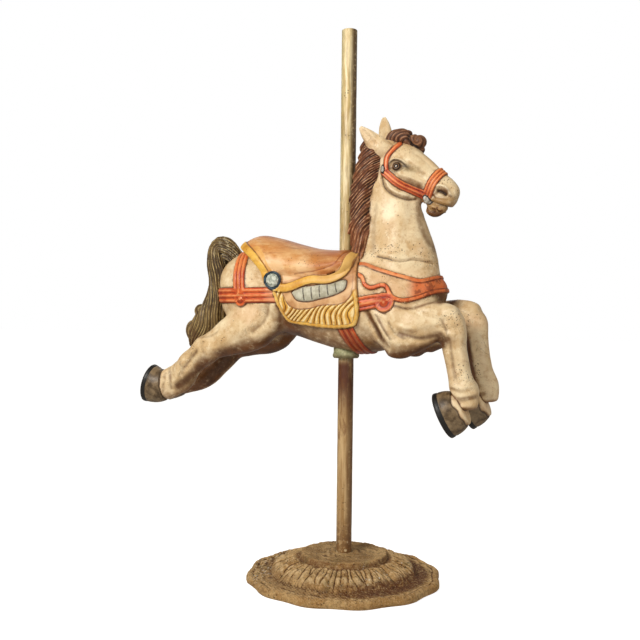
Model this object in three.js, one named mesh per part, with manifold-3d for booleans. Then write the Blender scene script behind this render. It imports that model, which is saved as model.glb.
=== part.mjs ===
// A jumping carousel horse on its pole, standing on a round foot cast with leaves.
// Millimetres, +Z up. The horse faces +X and its left side is +Y.
// The origin is on the pole's axis, at the foot's underside.
import * as THREE from "three";
import { mergeVertices } from "three/addons/utils/BufferGeometryUtils.js";
import Module from "manifold-3d";

const wasm = await Module();
wasm.setup();

// Driving sizes
const OVERALL_HEIGHT = 1808;
const POLE_DIAMETER = 51;
const HORSE_LENGTH = 1235;
const HORSE_HEIGHT = 750; // floor to the belly, at the pole
const COLLAR_DIAMETER = 88;
const COLLAR_HEIGHT = 38;
const COLLAR_INLET = 16; // how deep the collar is let into the belly
const FOOT_RADIUS = 315;
const FOOT_RIM = 22; // thickness at the edge
const FOOT_HEIGHT = 92;
const FOOT_DISC_RADIUS = 142;
const LEAF_RING_RADIUS = 238;
const SOCKET_DEPTH = 60;
const JEWEL_DIAMETER = 44;
const JEWEL_PROUD = 7;
const CLEARANCE = 0.4; // between pieces that touch

// Counts
const LEAF_COUNT = 14;
const RIM_LOBES = 12;
const FRINGE_STRANDS = 8;
const ROLL_BANDS = 5;
const MANE_LOCKS = 5;

// The horse is drawn 1235 long, and every length of the carving below is scaled from that.
const DRAWN_LENGTH = 1235;
const scale = HORSE_LENGTH / DRAWN_LENGTH;

// Heights of the carving above the body's skin, at the drawn length
const STRAP_RISE = 7;
const SADDLE_RISE = 11;
const TRIM_RISE = 20;
const FRINGE_RISE = 18;
const SEAT_RISE = 15;

const LATERAL = new THREE.Vector3(0, 1, 0);
const bothSides = [-1, 1]; // right, left

// Solids from three.js geometry, and back again
function solidOf(geometry) {
  const bare = geometry.index ? geometry.toNonIndexed() : geometry.clone();
  bare.deleteAttribute("normal");
  bare.deleteAttribute("uv");
  const merged = mergeVertices(bare, 1e-3);
  const solid = new wasm.Manifold(
    new wasm.Mesh({
      numProp: 3,
      vertProperties: merged.attributes.position.array,
      triVerts: new Uint32Array(merged.index.array),
    }),
  );
  return solid;
}

function geometryOf(solid) {
  const mesh = solid.getMesh();
  const points = [];
  for (let i = 0; i < mesh.vertProperties.length; i += mesh.numProp) {
    points.push(mesh.vertProperties[i], mesh.vertProperties[i + 1], mesh.vertProperties[i + 2]);
  }
  const geometry = new THREE.BufferGeometry();
  geometry.setAttribute("position", new THREE.Float32BufferAttribute(points, 3));
  geometry.setIndex(Array.from(mesh.triVerts));
  const flat = geometry.toNonIndexed();
  flat.computeVertexNormals();
  return flat;
}

function joined(solids) {
  return solids.reduce((all, solid) => all.add(solid));
}

// A row of numbers part way along a table, on a smooth curve through its rows
function along(rows, t) {
  const last = rows.length - 1;
  const i = Math.min(Math.floor(t), last - 1);
  const f = t - i;
  const before = rows[Math.max(i - 1, 0)];
  const after = rows[Math.min(i + 2, last)];
  return rows[i].map((from, k) => {
    const to = rows[i + 1][k];
    const leave = (to - before[k]) / 2;
    const arrive = (after[k] - from) / 2;
    const f2 = f * f;
    const f3 = f2 * f;
    return (
      (2 * f3 - 3 * f2 + 1) * from +
      (f3 - 2 * f2 + f) * leave +
      (3 * f2 - 2 * f3) * to +
      (f3 - f2) * arrive
    );
  });
}

// A closed skin over rings of equal length, with a low point at each end
function skin(rings, bulge = 0.25) {
  const sides = rings[0].length;
  const positions = [];
  const centres = rings.map((ring) =>
    ring.reduce((sum, p) => sum.add(p), new THREE.Vector3()).divideScalar(sides),
  );
  for (const ring of rings) {
    for (const p of ring) {
      positions.push(p.x, p.y, p.z);
    }
  }
  const last = rings.length - 1;
  const ends = [
    [centres[0], centres[1], rings[0]],
    [centres[last], centres[last - 1], rings[last]],
  ];
  for (const [centre, inward, ring] of ends) {
    const out = centre.clone().sub(inward).normalize();
    const reach = ring.reduce((sum, p) => sum + p.distanceTo(centre), 0) / sides;
    const tip = centre.clone().addScaledVector(out, reach * bulge);
    positions.push(tip.x, tip.y, tip.z);
  }
  const faces = [];
  for (let i = 0; i < last; i++) {
    for (let j = 0; j < sides; j++) {
      const a = i * sides + j;
      const b = i * sides + ((j + 1) % sides);
      faces.push(a, b, b + sides, a, b + sides, a + sides);
    }
  }
  const firstTip = rings.length * sides;
  for (let j = 0; j < sides; j++) {
    const next = (j + 1) % sides;
    faces.push(firstTip, next, j);
    faces.push(firstTip + 1, last * sides + j, last * sides + next);
  }
  const build = (index) => {
    const geometry = new THREE.BufferGeometry();
    geometry.setAttribute("position", new THREE.Float32BufferAttribute(positions, 3));
    geometry.setIndex(index);
    return solidOf(geometry);
  };
  const made = build(faces);
  return made.volume() > 0 ? made : build(faces.slice().reverse());
}

// A limb: rows of x, y, z, half its depth in the side view and half its width across.
// grow thickens it all over, power squares its section off and flute furrows it lengthwise.
function sweep(rows, { sides = 8, grow = 0, power = 2, flute = 0, bulge = 0.25 } = {}) {
  const last = rows.length - 1;
  const rings = rows.map(([x, y, z, deep, wide], i) => {
    const before = rows[Math.max(i - 1, 0)];
    const after = rows[Math.min(i + 1, last)];
    const along = new THREE.Vector3(
      after[0] - before[0],
      after[1] - before[1],
      after[2] - before[2],
    ).normalize();
    const upward = new THREE.Vector3().crossVectors(along, LATERAL).normalize();
    const across = new THREE.Vector3().crossVectors(upward, along);
    const end = i === 0 ? -1 : i === last ? 1 : 0;
    const ring = [];
    for (let j = 0; j < sides; j++) {
      const angle = (2 * Math.PI * j) / sides;
      const c = Math.cos(angle);
      const s = Math.sin(angle);
      const furrow = j % 2 === 0 ? 1 : 1 - flute;
      const square = furrow * (Math.abs(c) ** power + Math.abs(s) ** power) ** (-1 / power);
      ring.push(
        new THREE.Vector3(x, y, z)
          .addScaledVector(upward, c * square * (deep + grow))
          .addScaledVector(across, s * square * (wide + grow))
          .addScaledVector(along, end * grow),
      );
    }
    return ring;
  });
  return skin(rings, bulge);
}

// The trunk and the saddle's seat: rows of x, top, bottom and half width
function trunk(rows, options) {
  const limb = rows.map(([x, top, bottom, wide]) => [
    x,
    0,
    (top + bottom) / 2,
    (top - bottom) / 2,
    wide,
  ]);
  return sweep(limb, options);
}

function ball([x, y, z, rx, ry, rz], grow = 0) {
  const geometry = new THREE.SphereGeometry(1, 8, 4);
  geometry.scale(rx + grow, ry + grow, rz + grow);
  geometry.translate(x, y, z);
  return solidOf(geometry);
}

function mirrored(rows, side) {
  return rows.map(([x, y, ...rest]) => [x, side * y, ...rest]);
}

// Side-view outlines, cut straight through the horse from side to side
const CUT_WIDTH = 400;

function prism(outline, from = -CUT_WIDTH, to = CUT_WIDTH) {
  const shape = new THREE.Shape(outline.map(([x, z]) => new THREE.Vector2(x, z)));
  const geometry = new THREE.ExtrudeGeometry(shape, { depth: to - from, bevelEnabled: false });
  geometry.rotateX(Math.PI / 2);
  geometry.translate(0, to, 0);
  return solidOf(geometry);
}

function prisms(outlines, from, to) {
  return joined(outlines.map((outline) => prism(outline, from, to)));
}

// The outline of a band of even width along a line
function ribbon(line, width) {
  const last = line.length - 1;
  const edge = (side) =>
    line.map(([x, z], i) => {
      const [x0, z0] = line[Math.max(i - 1, 0)];
      const [x1, z1] = line[Math.min(i + 1, last)];
      const length = Math.hypot(x1 - x0, z1 - z0);
      const half = (side * width) / 2;
      return [x - (half * (z1 - z0)) / length, z + (half * (x1 - x0)) / length];
    });
  return [...edge(-1), ...edge(1).reverse()];
}

// Body: x, top, bottom and half width. Heights are above the belly at the pole.
const TRUNK = [
  [-444, 240, 172, 38],
  [-424, 304, 110, 86],
  [-356, 336, 68, 112],
  [-262, 334, 52, 124],
  [-160, 322, 48, 126],
  [-60, 316, 20, 128],
  [40, 318, -3, 130],
  [120, 326, 6, 128],
  [200, 322, 36, 116],
  [262, 300, 80, 98],
  [302, 270, 122, 74],
  [324, 234, 166, 36],
];
const NECK = [
  [168, 0, 230, 152, 105],
  [171, 0, 300, 133, 92],
  [162, 0, 370, 117, 79],
  [151, 0, 440, 103, 67],
  [145, 0, 500, 96, 59],
  [142, 0, 560, 85, 53],
  [143, 0, 612, 70, 48],
  [145, 0, 655, 50, 40],
  [146, 0, 684, 20, 22],
];
const HEAD = [
  [112, 0, 641, 30, 30],
  [137, 0, 624, 61, 45],
  [175, 0, 599, 79, 50],
  [217, 0, 572, 76, 46],
  [257, 0, 549, 67, 37],
  [291, 0, 527, 56, 32],
  [319, 0, 505, 55, 33],
  [338, 0, 490, 49, 34],
  [350, 0, 479, 38, 30],
  [357, 0, 473, 16, 16],
];
const CHIN = [296, 0, 453, 33, 20, 23];
const CHEEK = [184, 34, 562, 54, 20, 48];

// Limbs of the right side: x, y, z, half depth and half width
const THIGH = [
  [-248, -42, 236, 76, 44],
  [-264, -56, 152, 98, 54],
  [-320, -72, 76, 84, 56],
  [-398, -76, 38, 65, 46],
  [-464, -76, 4, 49, 38],
  [-512, -75, -26, 48, 35],
  [-552, -73, -68, 48, 31],
  [-590, -71, -102, 57, 34],
  [-622, -69, -122, 53, 35],
  [-650, -68, -132, 56, 41],
];
const HIND_HOOF = [
  [-650, -68, -132, 55, 43],
  [-682, -68, -133, 62, 50],
  [-712, -68, -126, 68, 55],
];
// The left hind leg is drawn lower, with its cannon nearly level.
const FAR_THIGH = [
  [-244, -42, 230, 76, 44],
  [-256, -56, 144, 98, 54],
  [-310, -72, 66, 84, 56],
  [-390, -76, 28, 58, 45],
  [-456, -76, 0, 47, 38],
  [-510, -75, -48, 48, 35],
  [-558, -73, -92, 48, 32],
  [-604, -71, -116, 47, 33],
  [-638, -69, -127, 43, 34],
  [-668, -68, -131, 48, 41],
];
const FAR_HIND_HOOF = [
  [-664, -68, -130, 47, 42],
  [-694, -68, -139, 51, 49],
  [-721, -68, -143, 55, 54],
];
const SHOULDER = [
  [152, -62, 235, 80, 50],
  [172, -72, 160, 92, 58],
  [196, -84, 80, 86, 55],
  [205, -90, 28, 62, 48],
  [201, -92, -6, 32, 30],
];
const FOREARM = [
  [196, -90, 40, 66, 46],
  [244, -92, 72, 74, 48],
  [300, -90, 97, 65, 43],
  [352, -87, 108, 53, 39],
  [384, -85, 108, 42, 37],
];
const FORE_CANNON = [
  [362, -85, 124, 30, 34],
  [370, -85, 92, 46, 39],
  [379, -84, 40, 41, 34],
  [390, -82, -20, 37, 32],
  [402, -80, -76, 38, 34],
  [414, -78, -114, 43, 38],
  [411, -77, -152, 45, 40],
];
const FORE_HOOF = [
  [408, -77, -158, 54, 43],
  [380, -77, -172, 68, 51],
  [346, -77, -188, 74, 56],
];
const FAR_FORE_SHIFT = [33, 0, 12]; // how far the left foreleg is ahead of the right

const TAIL = [
  [-398, 0, 298, 24, 24],
  [-436, 0, 336, 34, 30],
  [-466, 0, 348, 40, 33],
  [-480, 0, 302, 37, 36],
  [-474, 0, 240, 35, 36],
  [-478, 0, 180, 40, 38],
  [-500, 0, 118, 52, 40],
  [-527, 0, 64, 58, 40],
  [-556, 0, 26, 44, 32],
  [-574, 0, 4, 18, 16],
];
// Curls: x, y, z and half sizes
const TAIL_CURLS = [
  [-548, 0, 130, 20, 20, 22],
  [-578, 0, 62, 24, 26, 36],
];

// Hair
const MANE = [
  [88, -12, 676, 36, 34],
  [91, -22, 622, 44, 38],
  [83, -26, 575, 48, 41],
  [68, -27, 531, 42, 42],
  [61, -28, 490, 40, 43],
  [65, -30, 440, 38, 44],
  [70, -34, 400, 35, 45],
  [66, -36, 345, 28, 44],
  [60, -34, 296, 22, 34],
];
const FORELOCK = [
  [146, 0, 676, 22, 20],
  [160, 0, 690, 26, 25],
  [186, 0, 692, 27, 28],
  [212, 0, 682, 24, 27],
  [232, 0, 672, 22, 25],
];
const FORELOCK_CURLS = [
  [245, -8, 672, 22, 26, 22],
  [238, 12, 652, 18, 22, 18],
];
const NEAR_EAR = [
  [144, -32, 636, 32, 15],
  [122, -40, 656, 33, 17],
  [96, -49, 684, 25, 13],
  [74, -56, 708, 15, 8],
  [62, -60, 722, 6, 5],
];
const FAR_EAR = [
  [132, 32, 646, 30, 15],
  [120, 38, 682, 28, 16],
  [113, 44, 722, 23, 13],
  [108, 49, 754, 16, 8],
  [105, 53, 774, 7, 5],
];

// Saddle: the seat's rows are as the trunk's, and the rest are side-view outlines
const SEAT = [
  [-386, 342, 288, 46],
  [-352, 376, 240, 96],
  [-314, 389, 215, 120],
  [-250, 378, 205, 135],
  [-170, 356, 200, 140],
  [-90, 338, 200, 142],
  [-20, 333, 205, 142],
  [30, 334, 225, 138],
  [56, 324, 250, 124],
];
const SEAT_EDGE = [
  [-270, 347],
  [-240, 313],
  [-221, 276],
  [-178, 224],
  [-126, 236],
  [-73, 245],
  [-20, 248],
  [18, 260],
  [38, 289],
  [50, 330],
];
const SEAT_BACK = -400;
const SEAT_BACK_LOW = 300;
const SEAT_FRONT = 60;
const OVER_SEAT = 480;
const TRIM_LINE = [
  [-342, 352],
  [-290, 318],
  [-246, 272],
  [-212, 216],
  [-176, 204],
  [-70, 231],
  [-8, 232],
  [36, 254],
  [58, 325],
];
const TRIM_WIDTH = 26;
const FLAP_LOW = [
  [-168, 184],
  [-148, 150],
  [-119, 137],
  [-80, 138],
  [-34, 149],
  [35, 155],
  [58, 170],
  [68, 196],
];
const FRINGE_HIGH = [
  [-184, 200],
  ...FLAP_LOW,
  [70, 215],
];
const FRINGE_LOW = [
  [-205, 193],
  [-186, 142],
  [-158, 97],
  [-92, 85],
  [-18, 78],
  [30, 78],
  [76, 88],
  [88, 120],
  [82, 190],
];
const JEWEL_AT = [-204, -141, 229];
const ROLL_LINE = [
  [-122, 182],
  [-70, 190],
  [0, 200],
  [42, 212],
];
const ROLL_WIDTH = 30;

// Harness: each strap is a line in the side view, with a width
const BREECHING_WIDTH = 50;
const BREECHING = [
  [-440, 181],
  [-300, 181],
  [-196, 182],
];
const HIP_STRAP_WIDTH = 46;
const HIP_STRAP = [
  [-352, 335],
  [-345, 290],
  [-342, 240],
  [-336, 190],
];
const GIRTH_WIDTH = 52;
const GIRTH = [
  [32, 96],
  [52, 46],
  [84, -20],
];
const LINK_WIDTH = 44; // from the saddle to the breast collar
const LINK = [
  [78, 150],
  [130, 160],
  [180, 166],
];
const BOSSES = [
  [-331, 168, 24],
  [172, 158, 30],
];
const BREAST_COLLAR = [
  [58, 283],
  [91, 285],
  [135, 270],
  [235, 241],
  [275, 232],
  [312, 246],
  [345, 262],
  [345, 196],
  [312, 186],
  [268, 167],
  [222, 158],
  [191, 170],
  [166, 205],
  [124, 197],
  [102, 208],
  [89, 233],
  [60, 246],
];

const CROWN_WIDTH = 17;
const CROWN = [
  [184, 664],
  [149, 620],
  [148, 584],
];
const CHEEK_STRAP_WIDTH = 26;
const CHEEK_STRAP = [
  [144, 574],
  [188, 537],
  [268, 500],
];
const NOSEBAND_WIDTH = 31;
const NOSEBAND = [
  [326, 580],
  [292, 534],
  [274, 490],
];

// The body's own skin, or one grown outwards for the harness and the saddle to be cut from
function barrel(grow) {
  return trunk(TRUNK, { sides: 14, grow, power: 2.2 });
}

function bodySkin(grow) {
  return joined([
    barrel(grow),
    sweep(NECK, { sides: 12, grow }),
    ...bothSides.map((side) => sweep(mirrored(SHOULDER, -side), { grow })),
    sweep(THIGH, { grow }),
    sweep(mirrored(FAR_THIGH, -1), { grow }),
  ]);
}

function headSkin(grow) {
  return joined([
    sweep(HEAD, { sides: 12, grow, power: 2.3 }),
    ball(CHIN, grow),
    ...mirrored([CHEEK], 1).concat(mirrored([CHEEK], -1)).map((cheek) => ball(cheek, grow)),
  ]);
}

function hindHooves() {
  return [HIND_HOOF, mirrored(FAR_HIND_HOOF, -1)].map((rows) => sweep(rows, { bulge: 0.15 }));
}

function forelegs() {
  return bothSides.flatMap((side) => {
    const [dx, dy, dz] = side < 0 ? [0, 0, 0] : FAR_FORE_SHIFT;
    const place = (rows) =>
      mirrored(rows, -side).map(([x, y, z, ...rest]) => [x + dx, y + dy, z + dz, ...rest]);
    return [
      sweep(place(FOREARM)),
      sweep(place(FORE_CANNON)),
      sweep(place(FORE_HOOF)),
    ];
  });
}

// Locks that lie over the mane, each from the parting to the neck's edge
function maneLocks() {
  const locks = [];
  for (let i = 0; i < MANE_LOCKS; i++) {
    const share = i / (MANE_LOCKS - 1);
    const [x, y, z, half, thick] = along(MANE, 1 + share * 4.6);
    const out = y - thick;
    const drop = 105;
    locks.push(
      sweep(
        [
          [x + half * 0.9, out + 14, z + 30, 9, 8],
          [x + half * 0.3, out + 1, z - drop * 0.12, 13, 9],
          [x - half * 0.45, out + 4, z - drop * 0.6, 12, 9],
          [x - half * 0.8, out + 16, z - drop, 5, 5],
        ],
        { sides: 5 },
      ),
    );
  }
  return locks;
}

function hair() {
  return [
    sweep(MANE),
    sweep(FORELOCK),
    ...FORELOCK_CURLS.map((curl) => ball(curl)),
    sweep(TAIL, { sides: 12, flute: 0.16 }),
    ...TAIL_CURLS.map((curl) => ball(curl)),
    ...maneLocks(),
  ];
}

function ears() {
  return [NEAR_EAR, FAR_EAR].map((rows) => sweep(rows));
}

function disc([x, z, radius]) {
  const sides = 8;
  return Array.from({ length: sides }, (_, i) => {
    const angle = (2 * Math.PI * i) / sides;
    return [x + radius * Math.cos(angle), z + radius * Math.sin(angle)];
  });
}

function harness() {
  const onBody = [
    ribbon(BREECHING, BREECHING_WIDTH),
    ribbon(HIP_STRAP, HIP_STRAP_WIDTH),
    ribbon(GIRTH, GIRTH_WIDTH),
    ribbon(LINK, LINK_WIDTH),
    ...BOSSES.map(disc),
    BREAST_COLLAR,
  ];
  const onHead = [
    ribbon(CROWN, CROWN_WIDTH),
    ribbon(CHEEK_STRAP, CHEEK_STRAP_WIDTH),
    ribbon(NOSEBAND, NOSEBAND_WIDTH),
  ];
  return [
    bodySkin(STRAP_RISE).intersect(prisms(onBody)),
    headSkin(STRAP_RISE).intersect(prisms(onHead)),
  ];
}

// Slanting strands between the flap's edge and the fringe's own lower edge
function fringeStrands() {
  const at = (line, share) => along(line, Math.min(share, 1) * (line.length - 1));
  const strands = [];
  for (let i = 0; i < FRINGE_STRANDS; i++) {
    const from = i / FRINGE_STRANDS;
    const to = (i + 0.72) / FRINGE_STRANDS;
    strands.push([
      at(FRINGE_HIGH, from),
      at(FRINGE_LOW, from),
      at(FRINGE_LOW, to),
      at(FRINGE_HIGH, to),
    ]);
  }
  return strands;
}

// The quilted roll on the flap, one cushion after another
function rollBands() {
  const at = (share) => along(ROLL_LINE, share * (ROLL_LINE.length - 1));
  const bands = [];
  for (let i = 0; i < ROLL_BANDS; i++) {
    const taper = i === 0 || i === ROLL_BANDS - 1 ? 0.7 : 1;
    bands.push(ribbon([at(i / ROLL_BANDS), at((i + 0.84) / ROLL_BANDS)], ROLL_WIDTH * taper));
  }
  return bands;
}

function saddle() {
  const seatTop = [
    [SEAT_BACK, OVER_SEAT],
    [SEAT_BACK, SEAT_BACK_LOW],
    ...SEAT_EDGE,
    [SEAT_FRONT, OVER_SEAT],
  ];
  const seat = trunk(SEAT, { sides: 14 })
    .add(barrel(SEAT_RISE - 4))
    .intersect(prism(seatTop));
  const flap = [...SEAT_EDGE.slice(3), [68, 320], ...FRINGE_LOW.slice().reverse()];
  const trim = prism(ribbon(TRIM_LINE, TRIM_WIDTH));
  return [
    seat,
    barrel(SADDLE_RISE).intersect(prism(flap)),
    barrel(TRIM_RISE).add(trunk(SEAT, { sides: 14, grow: 6 })).intersect(trim),
    barrel(FRINGE_RISE).intersect(prisms([...fringeStrands(), ...rollBands()], -CUT_WIDTH, 0)),
  ];
}

function drawnHorse() {
  return joined([
    bodySkin(0),
    headSkin(0),
    ...hindHooves(),
    ...forelegs(),
    ...hair(),
    ...ears(),
    ...harness(),
    ...saddle(),
  ]);
}

// A round bar or hole, standing on end
function upright(radius, from, to, sides = 24) {
  const geometry = new THREE.CylinderGeometry(radius, radius, to - from, sides);
  geometry.rotateX(Math.PI / 2);
  geometry.translate(0, 0, (from + to) / 2);
  return solidOf(geometry);
}

// Places worked out from the driving sizes
const poleRadius = POLE_DIAMETER / 2;
const boreRadius = poleRadius + CLEARANCE;
const collarRadius = COLLAR_DIAMETER / 2;
const collarTop = HORSE_HEIGHT + COLLAR_INLET;
const collarBottom = collarTop - COLLAR_HEIGHT;
const poleBottom = FOOT_HEIGHT - SOCKET_DEPTH;
const jewelRadius = JEWEL_DIAMETER / 2;
const jewelCentre = new THREE.Vector3(...JEWEL_AT).multiplyScalar(scale);
jewelCentre.z += HORSE_HEIGHT;

// The jewel's bezel is a boss on each side of the horse; only the right one holds a jewel.
const BEZEL_RISE = 3;
const BEZEL_WIDTH = 8;
const JEWEL_SEAT = 4; // how deep the jewel is sunk

function crosswise(radius, from, to, sides = 20) {
  const geometry = new THREE.CylinderGeometry(radius, radius, to - from, sides);
  geometry.translate(jewelCentre.x, (from + to) / 2, jewelCentre.z);
  return solidOf(geometry);
}

function makeHorse() {
  const bezelRadius = jewelRadius + BEZEL_WIDTH;
  const bezelFace = jewelCentre.y - BEZEL_RISE;
  const body = drawnHorse()
    .scale([scale, scale, scale])
    .translate([0, 0, HORSE_HEIGHT]);
  return body
    .add(crosswise(bezelRadius, bezelFace, -bezelFace))
    .subtract(crosswise(jewelRadius + CLEARANCE, bezelFace - 1, bezelFace + JEWEL_SEAT))
    .subtract(upright(boreRadius, collarBottom, OVERALL_HEIGHT))
    .subtract(upright(collarRadius + CLEARANCE, 0, collarTop + CLEARANCE));
}

function makePole() {
  return upright(poleRadius, poleBottom + CLEARANCE, OVERALL_HEIGHT);
}

// A turned sleeve with a rolled lower edge, clamped on the pole under the belly
function makeCollar() {
  const lip = collarRadius;
  const waist = collarRadius * 0.93;
  const rows = [
    [boreRadius, collarBottom],
    [waist * 0.9, collarBottom],
    [lip * 0.97, collarBottom + 4],
    [lip, collarBottom + 8],
    [lip * 0.97, collarBottom + 12],
    [waist, collarBottom + 15],
    [waist, collarTop],
    [boreRadius, collarTop],
    [boreRadius, collarBottom],
  ];
  const profile = rows.map(([r, z]) => new THREE.Vector2(r, z));
  const geometry = new THREE.LatheGeometry(profile, 20);
  geometry.rotateX(Math.PI / 2);
  return solidOf(geometry);
}

// A faceted glass cabochon: a girdle, a crown and a flat table
function makeJewel() {
  const back = jewelCentre.y - BEZEL_RISE + JEWEL_SEAT - CLEARANCE;
  const face = jewelCentre.y - BEZEL_RISE;
  const profile = [
    [0, back],
    [jewelRadius, back],
    [jewelRadius, face],
    [jewelRadius * 0.6, face - JEWEL_PROUD],
    [0, face - JEWEL_PROUD],
  ].map(([r, y]) => new THREE.Vector2(r, -y));
  const geometry = new THREE.LatheGeometry(profile, 12);
  geometry.rotateZ(Math.PI);
  geometry.rotateY(Math.PI / 12);
  geometry.translate(jewelCentre.x, 0, jewelCentre.z);
  return solidOf(geometry);
}

// The foot: rings of points out from the axis, each at a radius and a height
function makeFoot() {
  const FACETS = 4; // round each leaf
  const around = LEAF_COUNT * FACETS;
  const discLip = FOOT_DISC_RADIUS;
  const leafSpan = LEAF_RING_RADIUS - discLip;
  const lobe = (angle) => 1 + 0.016 * Math.cos(RIM_LOBES * angle);
  // Radius, height, how much it follows the rim's lobes, and how much the leaves stand up there
  const profile = [
    [discLip * 0.78, FOOT_HEIGHT - 5, 0, 0],
    [discLip * 0.92, FOOT_HEIGHT - 2, 0, 0],
    [discLip, FOOT_HEIGHT - 8, 0, 0],
    [discLip + leafSpan * 0.04, FOOT_HEIGHT - 20, 0, 0.2],
    [discLip + leafSpan * 0.45, FOOT_HEIGHT - 29, 0, 1],
    [discLip + leafSpan * 0.9, FOOT_HEIGHT - 49, 0, 0.9],
    [LEAF_RING_RADIUS + 4, FOOT_RIM + 5, 0, 0.1],
    [FOOT_RADIUS * 0.84, FOOT_RIM + 2, 0.4, 0],
    [FOOT_RADIUS * 0.96, FOOT_RIM + 5, 1, 0],
    [FOOT_RADIUS, FOOT_RIM, 1, 0],
    [FOOT_RADIUS * 0.992, 0, 1, 0],
  ];
  const LEAF_RISE = 9;
  const positions = [0, 0, FOOT_HEIGHT];
  for (const [radius, height, lobes, leaf] of profile) {
    for (let j = 0; j < around; j++) {
      const angle = (2 * Math.PI * j) / around;
      const swell = 1 + lobes * (lobe(angle) - 1);
      const inLeaf = (j / FACETS) % 1;
      const ridge = Math.sin(Math.PI * inLeaf) ** 0.6;
      positions.push(
        radius * swell * Math.cos(angle),
        radius * swell * Math.sin(angle),
        height + LEAF_RISE * leaf * (ridge - 0.5),
      );
    }
  }
  positions.push(0, 0, 0);
  const faces = [];
  const at = (ring, j) => 1 + ring * around + (j % around);
  const bottom = 1 + profile.length * around;
  for (let j = 0; j < around; j++) {
    faces.push(0, at(0, j), at(0, j + 1));
    faces.push(bottom, at(profile.length - 1, j + 1), at(profile.length - 1, j));
    for (let ring = 0; ring < profile.length - 1; ring++) {
      faces.push(at(ring, j), at(ring + 1, j), at(ring + 1, j + 1));
      faces.push(at(ring, j), at(ring + 1, j + 1), at(ring, j + 1));
    }
  }
  const geometry = new THREE.BufferGeometry();
  geometry.setAttribute("position", new THREE.Float32BufferAttribute(positions, 3));
  geometry.setIndex(faces);
  return solidOf(geometry).subtract(upright(boreRadius, poleBottom, OVERALL_HEIGHT));
}

const FINISHES = {
  horse: { color: "#d9c39a", roughness: 0.5, metalness: 0 },
  pole: { color: "#cdbb8c", roughness: 0.55, metalness: 0 },
  collar: { color: "#a9a57c", roughness: 0.6, metalness: 0 },
  foot: { color: "#8d7450", roughness: 0.85, metalness: 0 },
  jewel: { color: "#9fb4ad", roughness: 0.1, metalness: 0 },
};

function named(name, solid) {
  const mesh = new THREE.Mesh(geometryOf(solid), new THREE.MeshStandardMaterial(FINISHES[name]));
  mesh.name = name;
  return mesh;
}

const carouselHorse = new THREE.Group();
carouselHorse.add(
  named("horse", makeHorse()),
  named("pole", makePole()),
  named("collar", makeCollar()),
  named("foot", makeFoot()),
  named("jewel", makeJewel()),
);

export default carouselHorse;
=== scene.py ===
import math

import bpy
import numpy as np
from mathutils import Matrix, Vector
from mathutils.bvhtree import BVHTree


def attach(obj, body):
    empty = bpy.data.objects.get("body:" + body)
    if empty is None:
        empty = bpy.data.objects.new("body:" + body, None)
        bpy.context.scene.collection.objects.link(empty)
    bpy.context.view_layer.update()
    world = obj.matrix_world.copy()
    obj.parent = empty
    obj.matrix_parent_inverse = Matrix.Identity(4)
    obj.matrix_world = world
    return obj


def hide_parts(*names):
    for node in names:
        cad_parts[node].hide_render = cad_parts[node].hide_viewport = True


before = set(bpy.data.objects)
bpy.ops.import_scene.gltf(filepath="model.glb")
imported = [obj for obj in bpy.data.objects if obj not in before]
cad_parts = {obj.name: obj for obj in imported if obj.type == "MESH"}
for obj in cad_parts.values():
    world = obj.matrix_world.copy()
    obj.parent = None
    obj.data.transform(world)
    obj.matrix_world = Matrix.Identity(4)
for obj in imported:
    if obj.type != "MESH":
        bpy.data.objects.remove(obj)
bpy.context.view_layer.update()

# Sizes in millimetres. The horse is drawn facing +X, with heights above its belly at the pole.
BELLY = 750
OVERALL_HEIGHT = 1808
POLE_RADIUS = 25.5
COLLAR_RADIUS = 44
COLLAR_TOP = 766
COLLAR_BOTTOM = 728
FOOT_RADIUS = 315
FOOT_RIM = 22
FOOT_HEIGHT = 92
FOOT_DISC_RADIUS = 142
LEAF_RING_RADIUS = 238
LEAF_COUNT = 14
RIM_LOBES = 12
JEWEL_RADIUS = 22
BEZEL_RADIUS = JEWEL_RADIUS + 8
STUD_REACH = 146
CLEARANCE = 0.4
STRAP_RISE = 6.5
SADDLE_RISE = 11
TRIM_RISE = 19
SEAT_RISE = 11
BODY_VOXEL = 6
FINE_VOXEL = 2.7
MANE_PITCH = 8.6
TAIL_PITCH = 9.2
CURL_PITCH = 13
FRINGE_PITCH = 19
OUTSIDE = -40
FAR_OFF = 60
FARTHEST = 14
PRISM_REACH = 400
HORSE_TRIANGLES = 196000
BORE_RADIUS = POLE_RADIUS + CLEARANCE

# Body, as in the part's source: x, top, bottom and half width; then limbs as x, y, z, half sizes
TRUNK = [
    (-444, 240, 172, 38), (-424, 304, 110, 86), (-356, 336, 68, 112), (-262, 334, 52, 124),
    (-160, 322, 48, 126), (-60, 316, 20, 128), (40, 318, -3, 130), (120, 326, 6, 128),
    (200, 322, 36, 116), (262, 300, 80, 98), (302, 270, 122, 74), (324, 234, 166, 36),
]
NECK = [
    (168, 0, 230, 152, 105), (171, 0, 300, 133, 92), (162, 0, 370, 117, 79), (151, 0, 440, 103, 67),
    (145, 0, 500, 96, 59), (142, 0, 560, 85, 53), (143, 0, 612, 70, 48), (145, 0, 655, 50, 40),
    (146, 0, 684, 20, 22),
]
HEAD = [
    (112, 0, 641, 30, 30), (137, 0, 624, 61, 45), (175, 0, 599, 79, 50), (217, 0, 572, 76, 46),
    (257, 0, 549, 67, 37), (291, 0, 527, 56, 32), (319, 0, 505, 55, 33), (338, 0, 490, 49, 34),
    (350, 0, 479, 38, 30), (357, 0, 473, 16, 16),
]
CHIN = (296, 0, 453, 33, 20, 23)
CHEEK = (184, 34, 562, 54, 20, 48)
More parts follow.
